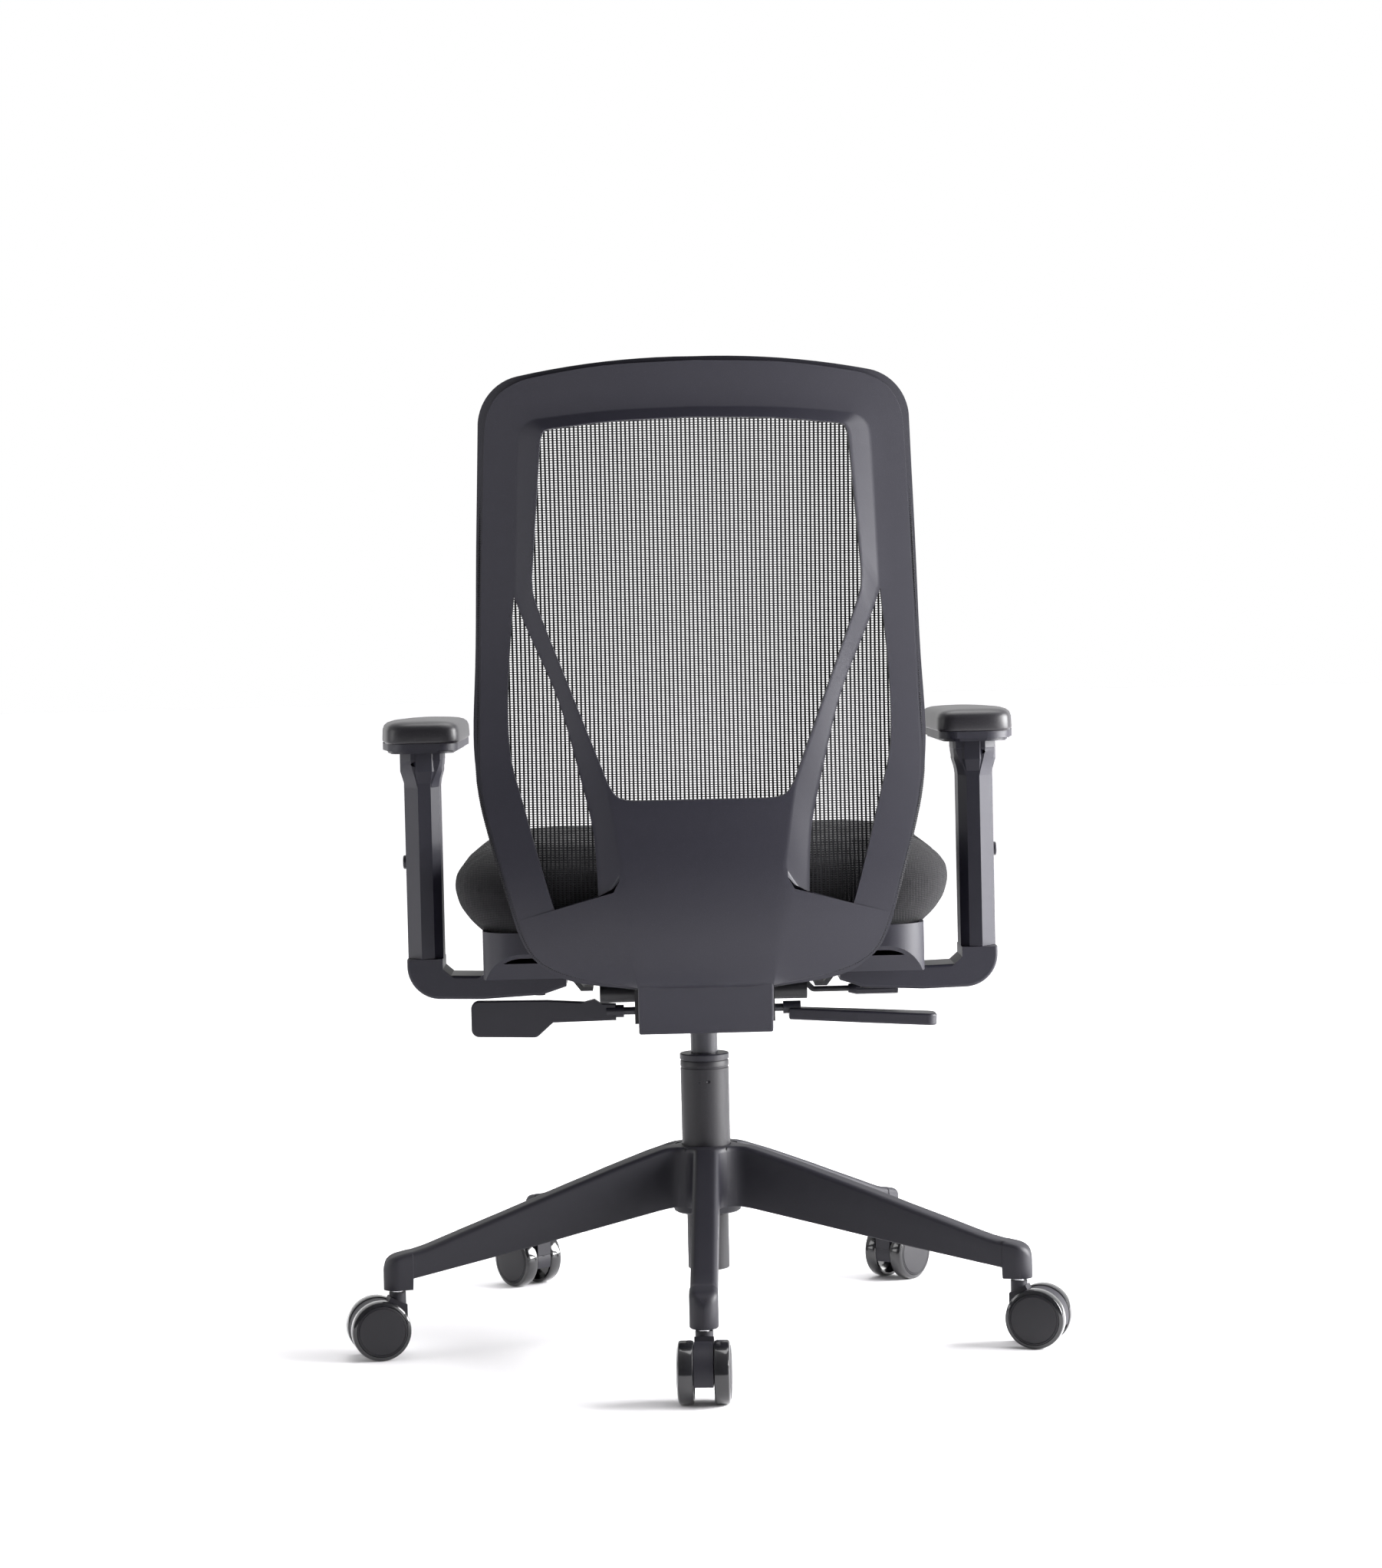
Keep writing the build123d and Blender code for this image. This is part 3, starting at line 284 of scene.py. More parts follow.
# %% [markdown]
# ## Maker's helpers
# Shapes are drawn in millimetres and brought to metres when a piece is finished. A line is a few
# measured points, filled in smoothly or kept straight, then spaced evenly, so that two lines with the
# same number of points can be joined by clean quads.

# %% Lines, patches and finished pieces
def smooth(points, fine=12):
    """A smooth line through the points (Catmull-Rom)."""
    p = [Vector(q) for q in points]
    p = [2 * p[0] - p[1], *p, 2 * p[-1] - p[-2]]
    line = []
    for a, b, c, d in zip(p, p[1:], p[2:], p[3:]):
        for k in range(fine):
            t = k / fine
            line.append(0.5 * (2 * b + (c - a) * t + (2 * a - 5 * b + 4 * c - d) * t ** 2
                               + (3 * b - a - 3 * c + d) * t ** 3))
    return line + [p[-2]]


def spaced(line, count):
    """The line again with count equal steps."""
    line = [Vector(q) for q in line]
    lengths = [(b - a).length for a, b in zip(line, line[1:])]
    total, placed, walked, k = sum(lengths), [line[0]], 0.0, 0
    for step in range(1, count):
        target = total * step / count
        while walked + lengths[k] < target:
            walked += lengths[k]
            k += 1
        placed.append(line[k].lerp(line[k + 1], (target - walked) / lengths[k]))
    return placed + [line[-1]]


def joined(*spans):
    """One line out of (count, points, curved) spans that meet end to end."""
    whole = []
    for count, points, curved in spans:
        piece = spaced(smooth(points) if curved else points, count)
        whole += piece[1:] if whole else piece
    return whole


def divided(points, *sections, fine=12):
    """One smooth line through all the points, cut at (last point, count) sections into even steps."""
    line, whole, start = smooth(points, fine), [], 0
    for last, count in sections:
        steps = spaced(line[start * fine:last * fine + 1], count)
        whole += steps[1:] if whole else steps
        start = last
    return whole


def patch(bm, across, rows):
    """A grid whose vertex (i, j) goes to across(i, j), for i up to rows[0] and j up to rows[1]."""
    made = bmesh.ops.create_grid(bm, x_segments=rows[0], y_segments=rows[1], size=0.5)["verts"]
    for v in made:
        v.co = across(round((v.co.x + 0.5) * rows[0]), round((v.co.y + 0.5) * rows[1]))
    return made


def piece_from(bm, name, body, material, stands_for=(), sharp=35, metres=True):
    """Finish a bmesh as a piece that rides on a body and takes the finish it is given."""
    if metres:
        bmesh.ops.scale(bm, vec=(MM, MM, MM), verts=bm.verts)
    mesh = bpy.data.meshes.new(name)
    bm.to_mesh(mesh)
    bm.free()
    mesh.shade_smooth()
    mesh.set_sharp_from_angle(angle=radians(sharp))
    for finish in material if isinstance(material, (list, tuple)) else (material,):
        mesh.materials.append(finish)
    piece = bpy.data.objects.new(name, mesh)
    scene.collection.objects.link(piece)
    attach(piece, body)
    if stands_for:
        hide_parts(*stands_for)
    print(name, len(mesh.polygons), "faces")
    return piece


def rounded_edges(piece, width, segments=3, angle=50):
    """Round the sharp edges of a piece with a Bevel modifier; width in millimetres."""
    bevel = piece.modifiers.new("rounded_edges", "BEVEL")
    bevel.width, bevel.segments, bevel.limit_method = width * MM, segments, "ANGLE"
    bevel.angle_limit = radians(angle)
    bevel.harden_normals = False
    return piece


# %% [markdown]
# ## The back's curved wall
# Seen from the side the back leans and has a lumbar bulge; seen from above it wraps round the sitter.
# Every back piece is drawn flat, as (across, depth, height), and then laid on this wall. Depth 0 is the
# rear face, and negative depths stand proud of it.

# %% The wall
WALL_PROFILE = [(366, -198), (392, -224), (430, -240), (480, -245), (545, -241), (620, -236),
                (720, -240), (850, -262), (1000, -295)]
WRAP_AXIS_Y = 650
wall_line = smooth([(z, y, 0) for z, y in WALL_PROFILE], 24)


def rear_face(height):
    """How far back the wall is on the middle line at a height."""
    for a, b in zip(wall_line, wall_line[1:]):
        if height <= b.x:
            return a.y + (b.y - a.y) * (height - a.x) / (b.x - a.x)
    return wall_line[-1].y


def lay_on_wall(bm):
    """Bend a flat drawing onto the wall."""
    for v in bm.verts:
        radius = WRAP_AXIS_Y - rear_face(v.co.z) - v.co.y
        v.co.y = WRAP_AXIS_Y - sqrt(radius * radius - v.co.x ** 2)


print("wall at 600 mm:", round(rear_face(600), 1))

# %% [markdown]
# ## Back frame
# One moulding: a flat outer rim, and a raised surround that climbs from the rim to a lip round the
# main window, runs down as two arms and becomes the spine. It could be sculpted from a dense block,
# but its character is in crisp creases between calm surfaces, so it is laid out as four quad patches
# that share their border lines. Half is drawn, mirrored, given thickness and then bent onto the wall.

# %% Border lines of the half drawing, as (across, height)
LIP = -7.0                     # the lip round the main window stands this proud of the rim
WALL = 12.0
BLEND = (0.0, 0.06, 0.14, 0.84, 0.93, 1.0)         # stations across the raised surround
BLEND_DEPTH = (LIP, 0.985 * LIP, 0.93 * LIP, 0.10 * LIP, 0.02 * LIP, 0.0)
RIM = (0.0, 0.5, 1.0)                              # stations across the flat rim


def flat(points):
    """Points given as (across, height) become (across, depth 0, height)."""
    return [(x, 0, z) for x, z in points]


RIM_OUTLINE = flat([
    (0, 981), (84, 978), (148, 969.5), (169, 964), (185.5, 954), (195.5, 939), (200, 920), (203.7, 860),
    (208.5, 765), (211.5, 683), (214, 605), (211.5, 570), (203.5, 533), (188, 476), (180, 449),
    (171, 424), (162, 410.5), (148, 400), (128, 392), (108, 386.5), (66, 379)])
outline_line = divided(RIM_OUTLINE, (2, 14), (6, 10), (8, 12), (11, 14), (13, 10), (14, 8), (20, 14))
RIM_STEPS = 14 + 10 + 12 + 14 + 10 + 8
rim_outer = outline_line[:RIM_STEPS + 1]
crease = divided(flat([(0, 938.5), (82, 936.5), (146, 931), (158, 928), (166, 921), (170, 907),
                       (174, 835), (177, 763)]), (2, 14), (5, 10), (7, 12))
rim_inner = crease + divided(flat([(177, 763), (183, 705), (186, 650), (184, 605), (176, 572), (147.5, 467),
                                   (140, 455), (130, 447), (118, 443)]), (3, 14), (5, 10), (8, 8))[1:]
window_edge = joined(
    (14, flat([(0, 928), (75, 926), (138, 920.3)]), True),
    (10, flat([(138, 920.3), (143.5, 918), (147, 910)]), True))
window_edge += divided(flat([(147, 910), (152.5, 850), (157.5, 795), (158.6, 774), (154.5, 752),
                             (125, 672), (90, 579)]), (2, 12), (4, 10), (6, 14))[1:]
arm_edge = divided(flat([(177, 763), (168, 738), (158, 714), (134.5, 655), (110, 558)]), (2, 10), (4, 14))
surround_outer = crease + arm_edge[1:]
wing_edge = joined(
    (12, flat([(110, 558), (105, 530), (102.5, 490), (102.5, 463), (107, 449), (118, 443)]), True),
    (2, [(118, 0, 443), rim_outer[-1]], False)) + outline_line[RIM_STEPS + 1:]
SPINE_LINE = [(579, 90), (503, 77), (471, 71), (430, 67.5), (379, 66)]       # (height, half width)
spine_rows = len(wing_edge) - 1
spine_line = spaced(smooth([(x, 0, z) for z, x in SPINE_LINE]), spine_rows)
panel_top = joined(
    (6, flat([(0, 563), (62, 563)]), False),
    (6, flat([(62, 563), (74, 564), (83, 568), (90, 579)]), True))
print("border lines:", len(rim_inner), len(rim_outer), len(window_edge), len(surround_outer))


# %% [markdown]
# ## Shell of the back
# Four patches of one half are filled between the border lines, welded and mirrored. Depth is then
# given to the flat drawing, and last it is bent onto the wall, so that each step stays simple.

# %% Four patches, mirrored, thickened and bent
def depth_point(a, b, share, depth):
    """A point part of the way from one line to another, at a depth."""
    point = Vector(a).lerp(Vector(b), share)
    return Vector((point.x, depth, point.z))


def band(near, far, shares, depths):
    """Place function of a patch between two lines."""
    return lambda i, j: depth_point(near[i], far[i], shares[j], depths[j])


def panel_point(i, j):
    """The flat middle panel, from its window edge down to the foot."""
    edge, side = panel_top[i], spine_line[j]
    share = (spine_line[0].z - side.z) / (spine_line[0].z - spine_line[-1].z)
    height = edge.z + (spine_line[-1].z - edge.z) * share
    return Vector((edge.x / panel_top[-1].x * side.x, LIP, height))


back = bmesh.new()
patch(back, band(rim_inner, rim_outer, RIM, (0, 0, 0)), (len(rim_inner) - 1, 2))
patch(back, band(window_edge, surround_outer, BLEND, BLEND_DEPTH), (len(window_edge) - 1, 5))
patch(back, band(spine_line, wing_edge, BLEND, BLEND_DEPTH), (spine_rows, 5))
patch(back, panel_point, (len(panel_top) - 1, spine_rows))
bmesh.ops.remove_doubles(back, verts=back.verts, dist=0.4)
bmesh.ops.mirror(back, geom=back.verts[:] + back.edges[:] + back.faces[:], axis="X", merge_dist=0.01)
bmesh.ops.recalc_face_normals(back, faces=back.faces)
outward = sum((f.normal.y * f.calc_area() for f in back.faces))
if outward > 0:
    bmesh.ops.reverse_faces(back, faces=back.faces)
shell = bmesh.ops.extrude_face_region(back, geom=back.faces[:], use_keep_orig=True)
for v in [g for g in shell["geom"] if isinstance(g, bmesh.types.BMVert)]:
    v.co.y = WALL
bmesh.ops.recalc_face_normals(back, faces=back.faces)
lay_on_wall(back)
back_shell = rounded_edges(piece_from(back, "back_shell", "back", frame_plastic,
                                      ["back_frame"], sharp=60), 1.6)

# %% [markdown]
# ## Foot of the back
# The spine ends in a block that takes the steel bracket of the tilt mechanism. Its rear face slopes
# forward, so it catches less light than the spine. It is its own closed block: a side outline,
# extruded across.

# %% Foot block
FOOT_HALF = 66
FOOT_SIDE = ((-128.6, 331), (-190.5, 331), (-218.9, 380), (-224, 391), (-212, 396), (-176, 384),
             (-128.6, 374))
foot = bmesh.new()
foot.faces.new([foot.verts.new((-FOOT_HALF, y, z)) for y, z in FOOT_SIDE])
block = bmesh.ops.extrude_face_region(foot, geom=foot.faces[:], use_keep_orig=True)
bmesh.ops.translate(foot, vec=(2 * FOOT_HALF, 0, 0),
                    verts=[g for g in block["geom"] if isinstance(g, bmesh.types.BMVert)])
bmesh.ops.recalc_face_normals(foot, faces=foot.faces)
back_foot = rounded_edges(piece_from(foot, "back_foot", "back", frame_plastic), 2.0)

# %% [markdown]
# ## Mesh
# The mesh is a knitted net: upright cords 4.1 mm apart, tied by thin cross threads 2.35 mm apart. A
# sheet with see-through holes in its material would be lighter, but here the threads are real, so the
# net shows and hides what is behind it from every side. They start as two sets of narrow strips, are
# trimmed to the back's outline by cutting planes, get thickness and are bent onto the wall.

# %% Threads of the net
NET_DEPTH = 17.3
CORD_PITCH, CORD_WIDTH = 4.1, 1.8
TIE_PITCH, TIE_WIDTH = 2.35, 0.72
THREAD = 0.45
NET_LOW, NET_HIGH, NET_HALF = 378, 986, 222
trim_line = [Vector(p) for p in RIM_OUTLINE]
OUTLINE_MID = Vector((0, 0, 681))
OUTLINE_HALF = (216.5, 301)         # half width and half height of the back


def grown(points, border):
    """The outline moved out by a border, by scaling it about its middle."""
    wider, taller = (1 + border / half for half in OUTLINE_HALF)
    return [Vector((p.x * wider, 0, OUTLINE_MID.z + (p.z - OUTLINE_MID.z) * taller)) for p in points]


def trim(bm, points):
    """Cut away what lies outside a convex outline, on both sides."""
    for a, b in zip(points, points[1:]):
        normal = Vector((-(b.z - a.z), 0, b.x - a.x))
        if normal.dot(a - OUTLINE_MID) < 0:
            normal.negate()
        for side in (1, -1):
            bmesh.ops.bisect_plane(bm, geom=bm.verts[:] + bm.edges[:] + bm.faces[:], clear_outer=True,
                                   plane_co=(side * a.x, 0, a.z), plane_no=(side * normal.x, 0, normal.z))


def strip(bm, low, high, steps, upright):
    """A narrow flat strip with cuts along its length, between two corners (across, height)."""
    segments = (1, steps) if upright else (steps, 1)
    made = bmesh.ops.create_grid(bm, x_segments=segments[0], y_segments=segments[1], size=0.5)["verts"]
    size, middle = (high[0] - low[0], high[1] - low[1]), ((low[0] + high[0]) / 2, (low[1] + high[1]) / 2)
    for v in made:
        v.co = Vector((middle[0] + v.co.x * size[0], NET_DEPTH, middle[1] + v.co.y * size[1]))
    return made


net = bmesh.new()
cord_count = int(2 * NET_HALF / CORD_PITCH)
for k in range(cord_count + 1):
    x = (k - cord_count / 2) * CORD_PITCH
    strip(net, (x - CORD_WIDTH / 2, NET_LOW), (x + CORD_WIDTH / 2, NET_HIGH), 44, True)
tie_count = int((NET_HIGH - NET_LOW) / TIE_PITCH)
for k in range(tie_count):
    z = NET_LOW + (k + 0.5) * TIE_PITCH
    ties = strip(net, (-NET_HALF, z - TIE_WIDTH / 2), (NET_HALF, z + TIE_WIDTH / 2), 26, False)
    bmesh.ops.translate(net, verts=ties, vec=(0, 0.35, 0))
NET_OVERLAP = 2.6
trim(net, grown(trim_line, NET_OVERLAP))
lay_on_wall(net)
bmesh.ops.recalc_face_normals(net, faces=net.faces)
bmesh.ops.solidify(net, geom=net.faces[:], thickness=THREAD)
print("net:", cord_count + 1, "cords and", tie_count, "ties")

# %% [markdown]
# ## Fabric finish
# Woven and knitted pieces share one group: fine ribs across a coordinate, broken by noise, which give a
# colour, a roughness and a relief.

# %% Woven group and fabric materials
weave, weave_in, weave_out = shader_group(
    "woven_ribs",
    (("Color", COLOR, (0.02, 0.02, 0.02, 1)), ("Ribs", FLOAT, 2400.0), ("Cross", FLOAT, 1600.0),
     ("Depth", FLOAT, 0.5), ("Contrast", FLOAT, 0.4)),
    (("Color", COLOR), ("Roughness", FLOAT), ("Normal", NORMAL)))
spot = add_node(weave, "ShaderNodeTexCoord")
axes = add_node(weave, "ShaderNodeSeparateXYZ")
rib_turn = add_node(weave, "ShaderNodeMath", {"operation": "MULTIPLY"})
rib_wave = add_node(weave, "ShaderNodeMath", {"operation": "SINE"})
cross_turn = add_node(weave, "ShaderNodeMath", {"operation": "MULTIPLY"})
cross_wave = add_node(weave, "ShaderNodeMath", {"operation": "SINE"})
woven = add_node(weave, "ShaderNodeMath", {"operation": "MULTIPLY_ADD"})
woven.inputs[1].default_value = 0.6
fuzz = add_node(weave, "ShaderNodeTexNoise", Scale=900.0, Detail=2.0)
lift = add_node(weave, "ShaderNodeMath", {"operation": "ADD"})
shade = add_node(weave, "ShaderNodeMapRange", From_Min=-1.2, From_Max=2.2, To_Min=0.6, To_Max=1.4)
dyed = add_node(weave, "ShaderNodeVectorMath", {"operation": "SCALE"})
gloss = add_node(weave, "ShaderNodeMapRange", From_Min=-1.0, From_Max=2.0, To_Min=0.95, To_Max=0.7)
weave_relief = add_node(weave, "ShaderNodeBump", Distance=0.0006)
for a, b in (
        (spot.outputs["Object"], axes.inputs[0]), (axes.outputs["Z"], rib_turn.inputs[0]),
        (weave_in.outputs["Ribs"], rib_turn.inputs[1]), (rib_turn.outputs[0], rib_wave.inputs[0]),
        (axes.outputs["X"], cross_turn.inputs[0]), (weave_in.outputs["Cross"], cross_turn.inputs[1]),
        (cross_turn.outputs[0], cross_wave.inputs[0]), (cross_wave.outputs[0], woven.inputs[0]),
        (rib_wave.outputs[0], woven.inputs[2]), (spot.outputs["Object"], fuzz.inputs["Vector"]),
        (woven.outputs[0], lift.inputs[0]), (fuzz.outputs["Fac"], lift.inputs[1]),
        (lift.outputs[0], shade.inputs["Value"]), (weave_in.outputs["Color"], dyed.inputs[0]),
        (shade.outputs["Result"], dyed.inputs["Scale"]), (dyed.outputs["Vector"], weave_out.inputs["Color"]),
        (lift.outputs[0], gloss.inputs["Value"]), (gloss.outputs["Result"], weave_out.inputs["Roughness"]),
        (lift.outputs[0], weave_relief.inputs["Height"]), (weave_in.outputs["Depth"],
                                                          weave_relief.inputs["Strength"]),
        (weave_relief.outputs["Normal"], weave_out.inputs["Normal"])):
    weave.links.new(a, b)


def fabric(name, color, ribs, cross, depth, sheen, sheen_roughness=0.4):
    """A cloth material on the woven group, with a sheen at grazing angles."""
    material = bpy.data.materials.new(name)
    material.use_nodes = True
    tree = material.node_tree
    shader = tree.nodes["Principled BSDF"]
    group = tree.nodes.new("ShaderNodeGroup")
    group.node_tree = weave
    for key, value in (("Color", (*color, 1)), ("Ribs", ribs), ("Cross", cross), ("Depth", depth)):
        group.inputs[key].default_value = value
    tree.links.new(group.outputs["Color"], shader.inputs["Base Color"])
    tree.links.new(group.outputs["Roughness"], shader.inputs["Roughness"])
    tree.links.new(group.outputs["Normal"], shader.inputs["Normal"])
    shader.inputs["Sheen Weight"].default_value = sheen
    shader.inputs["Sheen Roughness"].default_value = sheen_roughness
    shader.inputs["Specular IOR Level"].default_value = 0.25
    return material


net_yarn = fabric("net_yarn", (0.010, 0.010, 0.012), 5200, 5200, 0.4, 0.05)
seat_cloth = fabric("seat_cloth", (0.0034, 0.0031, 0.0044), 5200, 3900, 0.45, 0.025)
back_net = piece_from(net, "back_net", "back", net_yarn, ["back_mesh"])

# %% [markdown]
# ## Wrapped edge of the net
# The net is pulled round a plastic carrier, and its edge shows all round the back as a black,
# rope-like rim with a small bump at every thread. A curve of short steps whose radius swells and
# shrinks gives those bumps for little cost.

# %% Beaded rim
RIM_RADIUS, BEAD = 2.9, 2.35
RIM_DEPTH = 14.5
WRAP_SPREAD = 1.009         # the wall's wrap draws a deeper line inward; this puts the rim back outside
RIM_BORDER, HALF_LENGTH = 1.4, 940
half_edge = grown(outline_line, RIM_BORDER)
edge_loop = [Vector((-p.x, 0, p.z)) for p in reversed(half_edge[1:])] + half_edge
edge_curve = bpy.data.curves.new("edge_line", "CURVE")
edge_curve.dimensions, edge_curve.bevel_depth, edge_curve.bevel_resolution = "3D", RIM_RADIUS, 1
edge_curve.use_fill_caps = True
spline = edge_curve.splines.new("POLY")
edge_points = spaced(edge_loop, int(2 * 2 * HALF_LENGTH / BEAD))
spline.points.add(len(edge_points) - 1)
for k, (point, place) in enumerate(zip(spline.points, edge_points)):
    point.co = (place.x * WRAP_SPREAD, RIM_DEPTH, place.z, 1)
    point.radius = 1.0 if k % 2 else 0.78
edge_object = bpy.data.objects.new("edge_line", edge_curve)
rim_mesh = bpy.data.meshes.new_from_object(edge_object)
rim_beads = bmesh.new()
rim_beads.from_mesh(rim_mesh)
bpy.data.objects.remove(edge_object)
bpy.data.meshes.remove(rim_mesh)
bmesh.ops.remove_doubles(rim_beads, verts=rim_beads.verts, dist=0.001)
lay_on_wall(rim_beads)
bmesh.ops.recalc_face_normals(rim_beads, faces=rim_beads.faces)
net_rim = piece_from(rim_beads, "net_rim", "back", net_yarn)

# %% [markdown]
# ## Seat cushion
# Moulded foam under a tight knitted cover: flat along the middle, full and round at its sides, and
# hanging lower behind the pan than over it. A block with rounded corners gives the plan, a voxel
# remesh gives even cloth, and a short cloth simulation with air pressure inside swells it like foam.
# The block starts slightly smaller than the cushion, to leave room for the swelling.

# %% Cushion form
def inflated(source, voxel, pressure, cap, frames=20):
    """A remeshed copy of a closed mesh, swollen by a cloth simulation; no point moves past the cap."""
    holder = bpy.data.objects.new("swelling", source)
    scene.collection.objects.link(holder)
    remesh = holder.modifiers.new("even_cloth", "REMESH")
    remesh.mode, remesh.voxel_size = "VOXEL", voxel
    even = bpy.data.meshes.new_from_object(holder.evaluated_get(bpy.context.evaluated_depsgraph_get()))
    holder.modifiers.remove(remesh)
    holder.data = even
    start = [v.co.copy() for v in even.vertices]
    cloth = holder.modifiers.new("air", "CLOTH")
    cloth.settings.use_pressure, cloth.settings.uniform_pressure_force = True, pressure
    cloth.settings.effector_weights.gravity = 0
    cloth.point_cache.frame_start, cloth.point_cache.frame_end = 1, frames
    for step in range(1, frames + 1):
        scene.frame_set(step)
    swollen = bpy.data.meshes.new_from_object(holder.evaluated_get(bpy.context.evaluated_depsgraph_get()))
    for v, rest in zip(swollen.vertices, start):
        moved = v.co - rest
        if moved.length > cap:
            v.co = rest + moved * (cap / moved.length)
    scene.frame_set(1)
    bpy.data.objects.remove(holder)
    return swollen


cushion = bmesh.new()
SEAT_OUTLINE = [(0, -199), (110, -198), (192, -188), (236, -160), (253, -112), (256, -40), (256, 60),
                (251, 150), (231, 216), (170, 252), (80, 260), (0, 261)]
plan = divided([(x, y, 0) for x, y in SEAT_OUTLINE], (11, 60))
plan += [Vector((-p.x, p.y, 0)) for p in reversed(plan[1:-1])]
cushion.faces.new([cushion.verts.new(p) for p in plan])
SIDE_STEPS = ((428, 0.87), (432, 0.89), (441, 0.935), (456, 0.98), (474, 1.0), (488, 0.99),
              (499, 0.955), (507, 0.89), (511, 0.79))        # (height, size)
level = cushion.faces[:]
PLAN_MIDDLE = Vector((0, 30, 0))
bmesh.ops.translate(cushion, vec=(0, 0, SIDE_STEPS[0][0]), verts=cushion.verts)
bmesh.ops.scale(cushion, vec=(SIDE_STEPS[0][1],) * 2 + (1,), verts=cushion.verts,
                space=Matrix.Translation(-PLAN_MIDDLE))
for (low, size), (high, grow) in zip(SIDE_STEPS, SIDE_STEPS[1:]):
    ring = bmesh.ops.extrude_face_region(cushion, geom=level, use_keep_orig=low == SIDE_STEPS[0][0])
    level = [g for g in ring["geom"] if isinstance(g, bmesh.types.BMFace)]
    moved = [g for g in ring["geom"] if isinstance(g, bmesh.types.BMVert)]
    bmesh.ops.translate(cushion, vec=(0, 0, high - low), verts=moved)
    bmesh.ops.scale(cushion, vec=(grow / size, grow / size, 1), verts=moved,
                    space=Matrix.Translation(-PLAN_MIDDLE))
bmesh.ops.recalc_face_normals(cushion, faces=cushion.faces)
bmesh.ops.scale(cushion, vec=(MM, MM, MM), verts=cushion.verts)
cushion_form = bpy.data.meshes.new("cushion_form")
cushion.to_mesh(cushion_form)
cushion.free()
print("cushion form:", len(cushion_form.polygons), "faces")

# %% [markdown]
# ## Cushion finish
# The cover hangs lower behind the pan than beside it, and the seat is a little hollow where a sitter
# sits. Both are smooth shifts in height. One level of subdivision evens out the remeshed surface.

# %% Swell, drop the rear skirt and finish
cushion_form = inflated(cushion_form, voxel=0.006, pressure=4.0, cap=0.007)
skirt = bmesh.new()
skirt.from_mesh(cushion_form)
REAR_DROP, SKIRT_TOP, SKIRT_FRONT, SKIRT_FADE, SKIRT_HALF = 0.030, 0.470, -0.130, 0.045, 0.256
DISH, DISH_HALF_WIDTH, DISH_HALF_LENGTH, DISH_ABOVE = 0.006, 0.20, 0.22, 0.49
for v in skirt.verts:
    low = max(0.0, min(1.0, (SKIRT_TOP - v.co.z) / SKIRT_FADE))
    rear = max(0.0, min(1.0, (SKIRT_FRONT - v.co.y) / SKIRT_FADE))
    v.co.z -= REAR_DROP * low * rear * (1 - (v.co.x / SKIRT_HALF) ** 2)
    middle = max(0.0, 1 - (v.co.x / DISH_HALF_WIDTH) ** 2) * max(0.0, 1 - (v.co.y / DISH_HALF_LENGTH) ** 2)
    if v.co.z > DISH_ABOVE:
        v.co.z -= DISH * middle ** 2
seat_pad = piece_from(skirt, "seat_pad_cover", "seat", seat_cloth, ["seat_cushion"],
                      metres=False, sharp=80)
smoother = seat_pad.modifiers.new("even_surface", "SUBSURF")
smoother.levels = smoother.render_levels = 1

# %% [markdown]
# ## Five-legged base
# One injection moulding: each leg is an inverted channel with rounded top edges, deep at the hub and
# shallow near its tip, where it drops as a round post over the caster stem. Next to the hub the legs
# widen into each other in large fillets. A leg is a row of sections joined into a closed skin.

# %% Legs and hub
LEG_HALF, TIP_AT, TIP_R, FILLET = 13.0, 330.0, 14.0, 20.0
FIRST_LEG, LEG_COUNT = -91.8, 5
SKIN_GAP, POST_FOOT, EDGE_ROUND = 0.2, 68.2, 5.5
FILLET_AT = (LEG_HALF + FILLET) / sin(pi / LEG_COUNT) * cos(pi / LEG_COUNT)
LEG_TOP = divided([(20, 0, 194.8), (38, 0, 194.6), (54, 0, 191.8), (120, 0, 171.5), (200, 0, 144.4),
                   (290, 0, 113.6), (312, 0, 107.2), (326, 0, 104.6), (336, 0, 101.4), (341.5, 0, 96.5),
                   (344, 0, 88)], (10, 300))
LEG_BOTTOM = divided([(20, 0, 133), (48, 0, 131.4), (120, 0, 117.2), (230, 0, 95.4), (300, 0, 82.4),
                      (314, 0, 79.4)], (5, 200))


def level_at(line, x):
    """Height of a line of points at one distance from the axis."""
    return min(line, key=lambda p: abs(p.x - x)).z


def leg_section(reach):
    """Half width, bottom and top of a leg at one distance from the swivel axis."""
    half, bottom = LEG_HALF, level_at(LEG_BOTTOM, reach)
    if reach < FILLET_AT:
        half += FILLET - sqrt(FILLET ** 2 - (FILLET_AT - reach) ** 2)
    if reach > TIP_AT - TIP_R:
        bottom = POST_FOOT
        half = TIP_R - SKIN_GAP
    if reach > TIP_AT:
        half = sqrt(max(0.0, (TIP_R - SKIN_GAP) ** 2 - (reach - TIP_AT) ** 2))
    return half, bottom, level_at(LEG_TOP, reach)


def leg_ring(bm, reach, turn):
    """One inverted-channel section with rounded top edges, turned to the direction of its leg."""
    half, bottom, top = leg_section(reach)
    edge = min(EDGE_ROUND, half * 0.8)
    ring = [(-half, bottom + 1), (-half, bottom * 0.5 + top * 0.5)]
    ring += [(-half + edge - edge * cos(a), top - edge + edge * sin(a))
             for a in (radians(18 * k) for k in range(6))]
    ring += [(-half * 0.3, top)]
    ring += [(-x, z) for x, z in reversed(ring)]
    ring += [(half - 1, bottom), (0, bottom), (-half + 1, bottom)] if half > 2 else \
        [(half * 0.5, bottom), (0, bottom), (-half * 0.5, bottom)]
    return [bm.verts.new(turn @ Vector((reach, across, up))) for across, up in ring]


